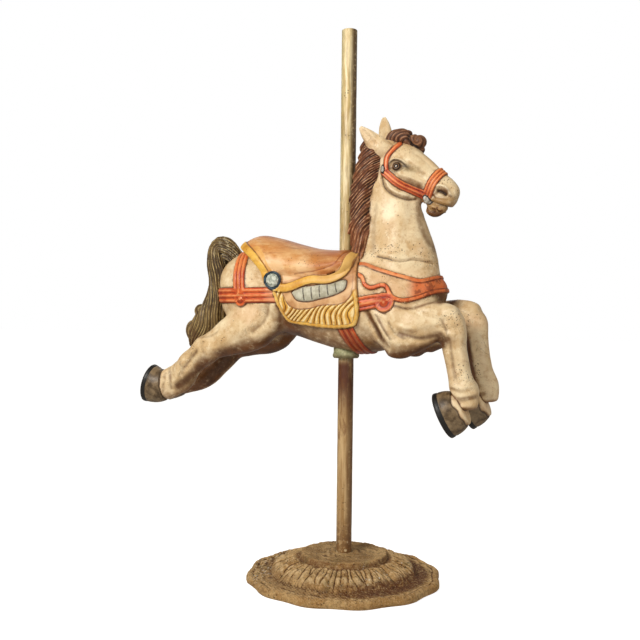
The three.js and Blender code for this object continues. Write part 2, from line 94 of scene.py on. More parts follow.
THIGH = [
    (-248, -42, 236, 76, 44), (-264, -56, 152, 98, 54), (-320, -72, 76, 84, 56),
    (-398, -76, 38, 65, 46), (-464, -76, 4, 49, 38), (-512, -75, -26, 48, 35), (-552, -73, -68, 48, 31),
    (-590, -71, -102, 57, 34), (-622, -69, -122, 53, 35), (-650, -68, -132, 56, 41),
]
HIND_HOOF = [(-650, -68, -132, 55, 43), (-682, -68, -133, 62, 50), (-712, -68, -126, 68, 55)]
FAR_THIGH = [
    (-244, -42, 230, 76, 44), (-256, -56, 144, 98, 54), (-310, -72, 66, 84, 56),
    (-390, -76, 28, 58, 45), (-456, -76, 0, 47, 38), (-510, -75, -48, 48, 35), (-558, -73, -92, 48, 32),
    (-604, -71, -116, 47, 33), (-638, -69, -127, 43, 34), (-668, -68, -131, 48, 41),
]
FAR_HIND_HOOF = [(-664, -68, -130, 47, 42), (-694, -68, -139, 51, 49), (-721, -68, -143, 55, 54)]
SHOULDER = [
    (152, -62, 235, 80, 50), (172, -72, 160, 92, 58), (196, -84, 80, 86, 55), (205, -90, 28, 62, 48),
    (201, -92, -6, 32, 30),
]
FOREARM = [
    (196, -90, 40, 66, 46), (244, -92, 72, 74, 48), (300, -90, 97, 65, 43), (352, -87, 108, 53, 39),
    (384, -85, 108, 42, 37),
]
FORE_CANNON = [
    (362, -85, 124, 30, 34), (370, -85, 92, 46, 39), (379, -84, 40, 41, 34), (390, -82, -20, 37, 32),
    (402, -80, -76, 38, 34), (414, -78, -114, 43, 38), (411, -77, -152, 45, 40),
]
FORE_HOOF = [(408, -77, -158, 54, 43), (380, -77, -172, 68, 51), (346, -77, -188, 74, 56)]
FAR_FORE_SHIFT = (33, 12)
TAIL = [
    (-398, 0, 298, 24, 24), (-436, 0, 336, 34, 30), (-466, 0, 348, 40, 33), (-480, 0, 302, 37, 36),
    (-474, 0, 240, 35, 36), (-478, 0, 180, 40, 38), (-500, 0, 118, 52, 40), (-527, 0, 64, 58, 40),
    (-556, 0, 26, 44, 32), (-574, 0, 4, 18, 16),
]
TAIL_CURLS = [(-548, 0, 130, 20, 20, 22), (-578, 0, 62, 24, 26, 36)]
MANE = [
    (88, -12, 676, 36, 34), (91, -22, 622, 44, 38), (83, -26, 575, 48, 41), (68, -27, 531, 42, 42),
    (61, -28, 490, 40, 43), (65, -30, 440, 38, 44), (70, -34, 400, 35, 45), (66, -36, 345, 28, 44),
    (60, -34, 296, 22, 34),
]
FORELOCK = [
    (146, 0, 676, 22, 20), (160, 0, 690, 26, 25), (186, 0, 692, 27, 28), (212, 0, 682, 24, 27),
    (232, 0, 672, 22, 25),
]
FORELOCK_CURLS = [(245, -8, 672, 22, 26, 22), (238, 12, 652, 18, 22, 18)]
NEAR_EAR = [
    (144, -32, 636, 32, 15), (122, -40, 656, 33, 17), (96, -49, 684, 25, 13), (74, -56, 708, 15, 8),
    (62, -60, 722, 6, 5),
]
FAR_EAR = [
    (132, 32, 646, 30, 15), (120, 38, 682, 28, 16), (113, 44, 722, 23, 13), (108, 49, 754, 16, 8),
    (105, 53, 774, 7, 5),
]
SEAT = [
    (-386, 342, 288, 46), (-352, 376, 240, 96), (-314, 389, 215, 120), (-250, 378, 205, 135),
    (-170, 356, 200, 140), (-90, 338, 200, 142), (-20, 333, 205, 142), (30, 334, 225, 138),
    (56, 324, 250, 124),
]
# Lines and outlines seen from the side, as x and height
SEAT_EDGE = [
    (-270, 347), (-240, 313), (-221, 276), (-178, 224), (-126, 236), (-73, 245), (-20, 248), (18, 260),
    (38, 289), (50, 330),
]
TRIM_LINE = [
    (-342, 352), (-290, 318), (-246, 272), (-212, 216), (-176, 204), (-70, 231), (-8, 232), (36, 254),
    (58, 325),
]
FLAP_LOW = [
    (-168, 184), (-148, 150), (-119, 137), (-80, 138), (-34, 149), (35, 155), (58, 170), (68, 196),
]
FRINGE_LOW = [
    (-205, 193), (-186, 142), (-158, 97), (-92, 85), (-18, 78), (30, 78), (76, 88), (88, 120),
    (82, 190),
]
JEWEL_AT = (-204, -141, 229)
ROLL_LINE = [(-122, 182), (-70, 190), (0, 200), (42, 212)]
BREECHING = [(-440, 181), (-300, 181), (-196, 182)]
HIP_STRAP = [(-352, 335), (-345, 290), (-342, 240), (-336, 190)]
GIRTH = [(32, 96), (52, 46), (84, -20)]
LINK = [(78, 150), (130, 160), (180, 166)]
BOSSES = [(-331, 168, 24), (172, 158, 30)]
BREAST_COLLAR = [
    (58, 283), (91, 285), (135, 270), (235, 241), (275, 232), (312, 246), (345, 262), (345, 196),
    (312, 186), (268, 167), (222, 158), (191, 170), (166, 205), (124, 197), (102, 208), (89, 233),
    (60, 246),
]
CROWN = [(184, 664), (149, 620), (148, 584)]
CHEEK_STRAP = [(144, 574), (188, 537), (268, 500)]
NOSEBAND = [(326, 580), (292, 534), (274, 490)]
SEAT_CUT = [(-400, 480), (-400, 300), *SEAT_EDGE, (60, 480)]
FLAP = [*SEAT_EDGE[3:], (68, 320), *FRINGE_LOW[::-1]]
BREECHING_WIDTH = 50
HIP_STRAP_WIDTH = 46
GIRTH_WIDTH = 52
LINK_WIDTH = 44
CROWN_WIDTH = 17
CHEEK_STRAP_WIDTH = 26
NOSEBAND_WIDTH = 31
TRIM_WIDTH = 26
ROLL = [
    (-138, 189), (-119, 165), (-91, 160), (-35, 170), (17, 184), (45, 201), (48, 226), (-1, 219), (-70, 210),
    (-120, 202),
]
GUSSET = [
    (-342, 352), (-290, 318), (-246, 272), (-212, 216), (-172, 218), (-216, 276), (-236, 316), (-262, 352),
    (-300, 372),
]
SEAT_BODY_CUT = [(-400, 480), (-400, 344), (-340, 344), *SEAT_EDGE, (60, 480)]
SEAT_SKIN_CUT = [(-318, 480), (-318, 356), *SEAT_EDGE, (60, 480)]


# Shapes are kept as arrays of points in millimetres, and faces
def refine(rows, steps=5):
    rows = np.array(rows, float)
    reach = np.maximum(np.linalg.norm(np.diff(rows, axis=0), axis=1), 1e-3)
    slopes = np.diff(rows, axis=0) / reach[:, None]
    inner = slopes[:-1] * reach[1:, None] + slopes[1:] * reach[:-1, None]
    inner /= (reach[:-1] + reach[1:])[:, None]
    leans = np.vstack([slopes[:1], inner, slopes[-1:]])
    t = np.arange(steps)[:, None] / steps
    parts = []
    for i, r in enumerate(reach):
        parts.append(
            (2 * t**3 - 3 * t**2 + 1) * rows[i]
            + (t**3 - 2 * t**2 + t) * r * leans[i]
            + (3 * t**2 - 2 * t**3) * rows[i + 1]
            + (t**3 - t**2) * r * leans[i + 1]
        )
    parts.append(rows[-1:])
    return np.vstack(parts)


def looped(rows, steps=3):
    return refine([*rows, rows[0]], steps)


def turns(sides):
    return np.arange(sides) * 2 * math.pi / sides


def ring_points(turn, radius, z):
    return np.stack([radius * np.cos(turn), radius * np.sin(turn), np.broadcast_to(z, turn.shape)], 1)


def unit(vectors):
    return vectors / np.maximum(np.linalg.norm(vectors, axis=1), 1e-9)[:, None]


def loft(rows, sides=32, grow=0.0, power=2.0, dome=0.35):
    rows = refine(rows, 6)
    path = rows[:, :3]
    ahead = unit(np.gradient(path, axis=0))
    up = unit(np.cross(ahead, (0.0, 1.0, 0.0)))
    across = np.cross(up, ahead)
    turn = turns(sides)
    c, s = np.cos(turn), np.sin(turn)
    square = (np.abs(c) ** power + np.abs(s) ** power) ** (-1 / power)
    deep, wide = rows[:, 3] + grow, rows[:, 4] + grow

    def ring(i, size, shift):
        upward = up[i] * (c * square * deep[i] * size)[:, None]
        sideways = across[i] * (s * square * wide[i] * size)[:, None]
        return path[i] + ahead[i] * shift + upward + sideways

    last = len(rows) - 1
    first_dome = dome * min(deep[0], wide[0]) + grow
    last_dome = dome * min(deep[last], wide[last]) + grow
    slants = np.radians([25, 50, 72])
    rings = [ring(0, math.cos(a), -first_dome * math.sin(a)) for a in slants[::-1]]
    rings += [ring(i, 1, 0) for i in range(last + 1)]
    rings += [ring(last, math.cos(a), last_dome * math.sin(a)) for a in slants]
    tips = [path[0] - ahead[0] * first_dome, path[last] + ahead[last] * last_dome]
    return closed(rings, tips)


def closed(rings, tips):
    sides = len(rings[0])
    count = len(rings)
    points = np.vstack([*rings, tips])
    faces = []
    for i in range(count - 1):
        for j in range(sides):
            a, b = i * sides + j, i * sides + (j + 1) % sides
            faces.append((a, b, b + sides, a + sides))
    for j in range(sides):
        k = (j + 1) % sides
        faces.append((count * sides, k, j))
        faces.append((count * sides + 1, (count - 1) * sides + j, (count - 1) * sides + k))
    return outward(points, faces)


def outward(points, faces):
    size = 0.0
    for face in faces:
        for k in range(1, len(face) - 1):
            a, b, c = points[face[0]], points[face[k]], points[face[k + 1]]
            size += a[0] * (b[1] * c[2] - b[2] * c[1]) + a[1] * (b[2] * c[0] - b[0] * c[2])
            size += a[2] * (b[0] * c[1] - b[1] * c[0])
    if size < 0:
        faces = [face[::-1] for face in faces]
    return points, faces


def trunk(rows, **options):
    limb = [(x, 0, (top + low) / 2, (top - low) / 2, wide) for x, top, low, wide in rows]
    return loft(limb, **options)


def ball(x, y, z, rx, ry, rz):
    scale, centre = np.array([rx, ry, rz]), np.array([x, y, z])
    slants = np.linspace(0, math.pi, 12)[1:-1]
    rings = [ring_points(turns(20), math.sin(a), math.cos(a)) * scale + centre for a in slants]
    return closed(rings, [centre + (0, 0, rz), centre - (0, 0, rz)])


def left(rows, shift_x=0, shift_z=0):
    """Rows of the right side, mirrored and shifted."""
    return [(x + shift_x, -y, z + shift_z, *sizes) for x, y, z, *sizes in rows]


def prism(outline):
    n = len(outline)
    sides = [[(x, y, z) for x, z in outline] for y in (-PRISM_REACH, PRISM_REACH)]
    faces = [tuple(range(n)), tuple(range(2 * n - 1, n - 1, -1))]
    faces += [(i, (i + 1) % n, n + (i + 1) % n, n + i) for i in range(n)]
    return outward(np.array(sides[0] + sides[1], float), faces)


def upright(radius, low, high):
    rings = [ring_points(turns(64), radius, z) for z in (low, high)]
    return closed(rings, [(0, 0, low), (0, 0, high)])


def crosswise(x, z, radius, reach):
    rings = [ring_points(turns(48), radius, y)[:, [0, 2, 1]] + (x, 0, z) for y in (-reach, reach)]
    return closed(rings, [(x, -reach, z), (x, reach, z)])


def ribbon(line, width):
    line = refine(line, 4)
    ahead = unit(np.gradient(line, axis=0))
    side = np.stack([-ahead[:, 1], ahead[:, 0]], 1) * width / 2
    return np.vstack([line + side, (line - side)[::-1]])


def joined(shapes):
    points, faces, start = [], [], 0
    for shape_points, shape_faces in shapes:
        points.append(shape_points)
        faces += [tuple(start + i for i in face) for face in shape_faces]
        start += len(shape_points)
    return np.vstack(points), faces


def mesh_object(name, shapes):
    points, faces = joined(shapes)
    mesh = bpy.data.meshes.new(name)
    mesh.from_pydata(((points + (0, 0, BELLY)) / 1000).tolist(), [], faces)
    piece = bpy.data.objects.new(name, mesh)
    bpy.context.scene.collection.objects.link(piece)
    return piece


def applied(piece):
    bpy.context.view_layer.update()
    ready = piece.evaluated_get(bpy.context.evaluated_depsgraph_get())
    mesh = bpy.data.meshes.new_from_object(ready)
    old = piece.data
    piece.modifiers.clear()
    piece.data = mesh
    bpy.data.meshes.remove(old)
    return piece


def fused(piece, voxel, rounds):
    remesh = piece.modifiers.new("fuse", "REMESH")
    remesh.mode = "VOXEL"
    remesh.voxel_size = voxel / 1000
    piece.modifiers.new("soften", "SMOOTH").iterations = rounds
    return applied(piece)


def cut(piece, shapes, how):
    cutter = mesh_object("cutter", shapes)
    boolean = piece.modifiers.new("cut", "BOOLEAN")
    boolean.operation = how
    boolean.solver = "EXACT"
    boolean.object = cutter
    applied(piece)
    drop(cutter)


def drop(piece):
    mesh = piece.data
    bpy.data.objects.remove(piece)
    bpy.data.meshes.remove(mesh)


def values_of(items, kind, width, dtype=float):
    values = np.empty(len(items) * width, dtype=dtype)
    items.foreach_get(kind, values)
    return values.reshape(-1, width)


def points_of(mesh, kind="co"):
    return values_of(mesh.vertices, kind, 3)


def shape_of(piece):
    points = points_of(piece.data) * 1000 - (0, 0, BELLY)
    return points, [tuple(face.vertices) for face in piece.data.polygons]


# Side-view measures: how far points (x, z) are inside an outline, or beside a line
def inside(points, outline):
    outline = np.array(outline, float)
    nearest = np.full(len(points), 1e9)
    within = np.zeros(len(points), bool)
    for p, q in zip(outline, np.roll(outline, -1, 0)):
        run = q - p
        t = np.clip(((points - p) @ run) / max(run @ run, 1e-9), 0, 1)
        nearest = np.minimum(nearest, np.linalg.norm(points - p - t[:, None] * run, axis=1))
        level = (p[1] > points[:, 1]) != (q[1] > points[:, 1])
        rise = q[1] - p[1] if q[1] != p[1] else 1e-9
        within ^= level & (points[:, 0] < (q[0] - p[0]) * (points[:, 1] - p[1]) / rise + p[0])
    return np.where(within, nearest, -nearest)


def beside(points, line):
    """How far off the line each point is, on which side, and how far along."""
    line = np.array(line, float)
    nearest = np.full(len(points), 1e9)
    side = np.ones(len(points))
    along = np.zeros(len(points))
    start = 0.0
    for p, q in zip(line[:-1], line[1:]):
        run = q - p
        length = np.linalg.norm(run)
        t = np.clip(((points - p) @ run) / length**2, 0, 1)
        gap = points - p - t[:, None] * run
        far = np.linalg.norm(gap, axis=1)
        closer = far < nearest
        nearest = np.where(closer, far, nearest)
        side = np.where(closer, np.sign(run[0] * gap[:, 1] - run[1] * gap[:, 0]), side)
        along = np.where(closer, start + t * length, along)
        start += length
    return nearest, side, along


def ease(x, low, high):
    t = np.clip((x - low) / (high - low), 0, 1)
    return t * t * (3 - 2 * t)


def swell(distance, width):
    return np.exp(-((distance / width) ** 2))


def ridged(across, power=0.8):
    """Rounded ridges with sharp furrows between them, one to a unit."""
    return np.abs(np.sin(math.pi * across)) ** power


# The camera, at the photograph's angle
VIEW_TURN = math.radians(22)
VIEW_ROLL = math.radians(0.65)
VIEW_DISTANCE = 2.838
VIEW_SIDESTEP = -0.087
VIEW_HEIGHT = 0.852
VIEW_LENS = 48.4
ahead = np.array([-math.sin(VIEW_TURN), math.cos(VIEW_TURN)])
aside = np.array([math.cos(VIEW_TURN), math.sin(VIEW_TURN)])
spot = -ahead * VIEW_DISTANCE + aside * VIEW_SIDESTEP
camera_data = bpy.data.cameras.new("camera")
camera_data.lens = VIEW_LENS
camera_data.sensor_width = 36
camera = bpy.data.objects.new("camera", camera_data)
camera.matrix_world = (
    Matrix.Translation((spot[0], spot[1], VIEW_HEIGHT))
    @ Matrix.Rotation(VIEW_TURN, 4, "Z")
    @ Matrix.Rotation(math.radians(90), 4, "X")
    @ Matrix.Rotation(VIEW_ROLL, 4, "Z")
)
scene = bpy.context.scene
scene.collection.objects.link(camera)
scene.camera = camera

# The body, with its joins softened
body_shapes = [
    trunk(TRUNK, power=2.2, sides=40),
    loft(NECK, sides=36),
    loft(HEAD, sides=36, power=2.3),
    ball(*CHIN),
    ball(*CHEEK),
    ball(*left([CHEEK])[0]),
    loft(THIGH),
    loft(left(FAR_THIGH)),
    loft(SHOULDER),
    loft(left(SHOULDER)),
    loft(FOREARM),
    loft(FORE_CANNON),
    loft(left(FOREARM, *FAR_FORE_SHIFT)),
    loft(left(FORE_CANNON, *FAR_FORE_SHIFT)),
]
body = fused(mesh_object("body", body_shapes), BODY_VOXEL, 14)
bore = [
    upright(BORE_RADIUS, -60, 460),
    upright(COLLAR_RADIUS + CLEARANCE, -120, COLLAR_TOP - BELLY + CLEARANCE),
]
cut(body, bore[:1], "DIFFERENCE")
cut(body, bore[1:], "DIFFERENCE")

# The saddle: seat, flap and trim, each cut from a skin grown over the trunk
jewel_x, jewel_y, jewel_z = JEWEL_AT
seat_parts = []
for shape, outline in (
    (trunk(SEAT, sides=48), SEAT_BODY_CUT),
    (trunk(SEAT, sides=48, grow=2), GUSSET),
    (trunk(TRUNK, power=2.2, sides=48, grow=SEAT_RISE), SEAT_SKIN_CUT),
    (trunk(TRUNK, power=2.2, sides=48, grow=SADDLE_RISE), FLAP),
    (trunk(TRUNK, power=2.2, sides=48, grow=TRIM_RISE), ribbon(TRIM_LINE, TRIM_WIDTH)),
    (trunk(SEAT, sides=48, grow=6), ribbon(TRIM_LINE, TRIM_WIDTH)),
):
    part = mesh_object("saddle_part", [shape])
    cut(part, [prism(outline)], "INTERSECT")
    cut(part, bore[:1], "DIFFERENCE")
    seat_parts.append(part)


def mane_locks():
    rows = np.array(MANE, float)
    locks = []
    for i in range(9):
        where = 0.6 + i * 0.86
        k = min(int(where), len(rows) - 2)
        x, y, z, half, thick = rows[k] + (rows[k + 1] - rows[k]) * (where - k)
        out = y - thick
        lock = [
            (x + half * 0.5, out + 12, z + 24, 9, 8),
            (x + half * 0.15, out + 3, z - 12, 12, 9),
            (x - half * 0.4, out + 5, z - 62, 11, 9),
            (x - half * 0.78, out + 15, z - 104, 5, 6),
        ]
        locks.append(loft(lock, sides=16))
    return locks


hooves = (FORE_HOOF, left(FORE_HOOF, *FAR_FORE_SHIFT), HIND_HOOF, left(FAR_HIND_HOOF))
bezel = crosswise(jewel_x, jewel_z, BEZEL_RADIUS, STUD_REACH)
groups = {
    "body": [shape_of(body)],
    "saddle": [*[shape_of(part) for part in seat_parts], bezel],
    "mane": [loft(MANE), *mane_locks(), loft(FORELOCK), *[ball(*curl) for curl in FORELOCK_CURLS]],
    "tail": [loft(TAIL, sides=40), *[ball(*curl) for curl in TAIL_CURLS]],
    "hoof": [loft(rows, dome=0.16) for rows in hooves],
    "ear": [loft(rows, dome=0.2) for rows in (NEAR_EAR, FAR_EAR)],
}
for part in [body, *seat_parts]:
    drop(part)
horse = mesh_object("carved_horse", [shape for shapes in groups.values() for shape in shapes])
fused(horse, FINE_VOXEL, 2)


# Which group each point of the skin belongs to: positive inside the group, negative outside
def group_measures(points):
    gaps = {}
    for name, shapes in groups.items():
        cloud, faces = joined(shapes)
        tree = BVHTree.FromPolygons(cloud.tolist(), faces)
        low, high = cloud.min(0) - FARTHEST, cloud.max(0) + FARTHEST
        near = np.all((points > low) & (points < high), axis=1)
        gap = np.full(len(points), float(FARTHEST))
        for i in np.nonzero(near)[0]:
            found = tree.find_nearest(points[i], FARTHEST)
            if found[3] is not None:
                gap[i] = found[3]
        gaps[name] = gap
    return {
        name: np.min([other for rest, other in gaps.items() if rest != name], axis=0) - gap
        for name, gap in gaps.items()
    }


def averaged(values, ends, rounds):
    """Values smoothed over neighbouring points."""
    count = len(values)
    a, b = ends[:, 0], ends[:, 1]
    shares = np.bincount(a, minlength=count) + np.bincount(b, minlength=count)
    shares = np.maximum(shares, 1)
    flat = values.reshape(count, -1).copy()
    for _ in range(rounds):
        for k in range(flat.shape[1]):
            column = flat[:, k]
            total = np.bincount(a, column[b], count) + np.bincount(b, column[a], count)
            flat[:, k] = 0.5 * column + 0.5 * total / shares
    return flat.reshape(values.shape)


def keep(mesh, name, values):
    mesh.attributes.new(name, "FLOAT", "POINT").data.foreach_set("value", values.astype(np.float32))


def keep_hollows(mesh, points, rows):
    """How far each point lies below means taken over wider and wider surroundings."""
    ends = values_of(mesh.edges, "vertices", 2, np.int64)
    normals = points_of(mesh, "normal")
    mean = points
    for name, rounds, strength in rows:
        mean = averaged(mean, ends, rounds)
        keep(mesh, name, np.sum((mean - points) * normals, axis=1) * strength)


def waves(points, seed, size):
    """A slow wandering value between about -1 and 1."""
    rng = np.random.default_rng(seed)
    total = np.zeros(len(points))
    for k in range(5):
        lean = unit(rng.normal(size=(1, 3)))[0]
        total += np.sin(points @ lean * 2 * math.pi / (size * (0.6 + 0.3 * k)) + rng.uniform(0, 6.3))
    return total / 2.6


def along_line(line, width, height=1.0):
    """A soft ridge along a line in side view; points far from it are left alone."""
    path = np.array(refine(line))
    low, high = path.min(0) - 2.6 * width, path.max(0) + 2.6 * width
    close = np.all((side_view > low) & (side_view < high), axis=1)
    ridge = np.zeros(len(side_view))
    ridge[close] = height * swell(beside(side_view[close], path)[0], width)
    return ridge


def creases(rows, wide=1.0, high=1.0, join=np.add):
    """Soft ridges joined up; a row is a width and a height, then x and z by turns."""
    total = np.zeros(len(P))
    for width, height, *line in rows:
        total = join(total, along_line(np.reshape(line, (-1, 2)), wide * width, high * height))
    return total


def on_cloth(measure, line, *others):
    """A side-view measure taken only near the saddle."""
    found = measure(side_view[by_saddle], line)
    found = found if isinstance(found, tuple) else (found,)
    full = [np.full(len(side_view), float(other)) for other in others]
    for values, part in zip(full, found):
        values[by_saddle] = part
    return full[0] if len(full) == 1 else full


P = points_of(horse.data) * 1000 - (0, 0, BELLY)
N = points_of(horse.data, "normal")
measures = group_measures(P)
side_view = P[:, [0, 2]]
X, Y, Z = P.T
lift = np.zeros(len(P))
on_hair = np.maximum(measures["mane"], measures["tail"])
bare = ease(-on_hair, -1, 3) * ease(-measures["hoof"], -1, 2) * ease(-measures["ear"], -1, 2)
not_saddle = ease(-measures["saddle"], -2, 2)
by_pole = ease(np.hypot(X, Y), POLE_RADIUS + 6, POLE_RADIUS + 22)
by_collar = np.where(Z < 60, ease(np.hypot(X, Y), COLLAR_RADIUS + 2, COLLAR_RADIUS + 12), 1)
bare = bare * by_pole * by_collar

# Straps: raised bands with grooves between them
strap_in = np.full(len(P), float(OUTSIDE))
strap_across = np.zeros(len(P))
BODY_STRAPS = (
    (BREECHING, BREECHING_WIDTH, 3),
    (HIP_STRAP, HIP_STRAP_WIDTH, 3),
    (GIRTH, GIRTH_WIDTH, 3),
    (LINK, LINK_WIDTH, 2),
)
HEAD_STRAPS = (
    (CROWN, CROWN_WIDTH, 1),
    (CHEEK_STRAP, CHEEK_STRAP_WIDTH, 2),
    (NOSEBAND, NOSEBAND_WIDTH, 3),
)
strap_height = np.zeros(len(P))
for straps, zone in ((BODY_STRAPS, Z < 360), (HEAD_STRAPS, (Z > 430) & (X > 120))):
    for line, width, bands in straps:
        off, way, _ = beside(side_view, refine(line))
        within = np.where(zone, width / 2 - off, OUTSIDE)
        u = np.clip(off * way / (width / 2), -1.2, 1.2)
        ridges = np.abs(np.cos(bands * math.pi * u / 2)) ** 0.5
        height = ease(within, -1.5, 3) * (0.5 + 0.5 * ridges)
        better = within > strap_in
        strap_in = np.where(better, within, strap_in)
        strap_across = np.where(better, u * bands / 2, strap_across)
        strap_height = np.maximum(strap_height, height)
for x, z, radius in BOSSES:
    reach = np.hypot(X - x, Z - z)
    within = radius - reach
    better = within > strap_in
    strap_in = np.where(better, within, strap_in)
    strap_across = np.where(better, reach / radius, strap_across)
    dish = 0.55 + 0.45 * np.abs(np.cos(math.pi * reach / radius)) + 0.5 * swell(reach, radius * 0.25)
    strap_height = np.where(within > 0, np.maximum(dish, 0.4), strap_height)
collar_in = inside(side_view, looped(BREAST_COLLAR, 4))
collar_in = np.where((Z < 330) & (X > 40), collar_in, OUTSIDE)
collar_rise = ease(collar_in, -1.5, 3) * (1 - 0.55 * ease(collar_in, 11, 15))
strap_height = np.maximum(strap_height, collar_rise)
lift += STRAP_RISE * strap_height * bare * not_saddle
strap_in = np.where(collar_in > -2, np.maximum(strap_in, collar_in), strap_in)

# Saddle relief
by_saddle = measures["saddle"] > 0.5 - FARTHEST
seat_in = on_cloth(inside, SEAT_CUT, OUTSIDE)
trim_off = on_cloth(beside, refine(TRIM_LINE), FAR_OFF)
flap_in = on_cloth(inside, looped(FLAP), OUTSIDE)
gusset_in = on_cloth(inside, looped(GUSSET), OUTSIDE)
panel_off, panel_side = on_cloth(beside, refine([(-178, 204), *FLAP_LOW, (66, 240), (60, 300)]), 40, 1)
panel_in = panel_off * panel_side
fringe_edge_off = on_cloth(beside, refine(FRINGE_LOW), FAR_OFF)
_, _, roll_run = on_cloth(beside, refine(ROLL_LINE), FAR_OFF, 1, 0)
roll_in = on_cloth(inside, looped(ROLL, 4), OUTSIDE)
seat_fold_off = on_cloth(beside, refine([(-130, 248), (-40, 262), (10, 282), (28, 322)]), FAR_OFF)
carving = 3.0 * np.sqrt(np.clip(1 - (trim_off / (TRIM_WIDTH / 2)) ** 2, 0, 1))
fringe_on = ease(-panel_in, 0, 3) * ease(Z, 204, 188)
in_fringe = fringe_on * ease(flap_in, -2, 2)
strand = (X - 0.55 * Z + 9 * np.sin((Z - 0.25 * X) / 16) + 6 * waves(P, 2, 70)) / FRINGE_PITCH
border = swell(fringe_edge_off - 5, 6)
carving += in_fringe * (6.0 * ridged(strand) * (1 - border) + 6.5 * border - 2.5)
in_panel = ease(panel_in, 0, 3) * ease(trim_off, TRIM_WIDTH / 2, TRIM_WIDTH / 2 + 2) * ease(flap_in, 0, 4)
roll_cell = 6 * roll_run / float(np.max(roll_run))
in_middle = ease(np.abs(roll_cell - 3), 2.7, 2.5)
cushion = 1 - in_middle * (1 - ridged(roll_cell, 0.35))
roll_round = np.sqrt(np.clip(1 - (1 - np.clip(roll_in / 17, 0, 1)) ** 2, 0, 1))
carving += in_panel * 8.0 * roll_round * (0.62 + 0.38 * cushion)
carving -= 2.2 * swell(roll_in + 1.5, 2.2) * in_panel
carving -= 2.0 * swell(seat_fold_off, 4) * ease(Z, 200, 230)
lift += carving * ease(measures["saddle"], -3, 0) * bare

# Hair: fine strands over broad locks
SLANT = 0.8
heights = np.linspace(200, 760, 113)
leans = SLANT * (0.32 + ease(heights, 320, 590))
fall = np.concatenate([[0], np.cumsum((leans[1:] + leans[:-1]) / 2 * np.diff(heights))])
mane_q = X * SLANT - np.interp(Z, heights, fall) + 4.0 * waves(P, 3, 110)
hair_on = ease(measures["mane"], -1, 4)
over_brow = (Z >= 640) & (X > 132)
mane_on = hair_on * ~over_brow
broad = 0.5 + 0.5 * np.sin(2 * math.pi * mane_q / 33 + 1.8 * waves(P, 5, 120))
lift += mane_on * (3.0 * ridged(mane_q / MANE_PITCH) + 7.0 * broad - 5.0)
curl_on = hair_on * over_brow
hump_q = np.hypot(X - 204, Z - 660) + 0.25 * Y
knob_x, knob_z = 246, 674
knob_q = np.hypot(X - knob_x, Z - knob_z) + 4 * np.arctan2(Z - knob_z, X - knob_x)
in_knob = ease(X, 216, 224)
curl_q = hump_q * (1 - in_knob) + knob_q * in_knob + 3.5 * waves(P, 7, 60)
lift += curl_on * (4.5 * ridged(curl_q / CURL_PITCH, 0.7) - 2.4) * (1 - 0.7 * in_knob)
curl_cut, _, _ = beside(side_view, refine([(226, 708), (215, 694), (214, 676), (224, 660), (240, 650)]))
lift -= curl_on * 8 * swell(curl_cut, 5)
tail_line = refine([row[0::2][:2] for row in TAIL], 5)
tail_off, tail_side, tail_run = beside(side_view, tail_line)
tail_turn = np.arctan2(np.abs(Y), tail_off * tail_side)
tail_q = 38 * tail_turn + 0.22 * tail_run + 5 * waves(P, 9, 170)
tail_on = ease(measures["tail"], -1, 4)
tail_broad = 0.5 + 0.5 * np.sin(2 * math.pi * tail_q / 31)
lift += tail_on * (2.8 * ridged(tail_q / TAIL_PITCH) + 6.5 * tail_broad - 4.6)


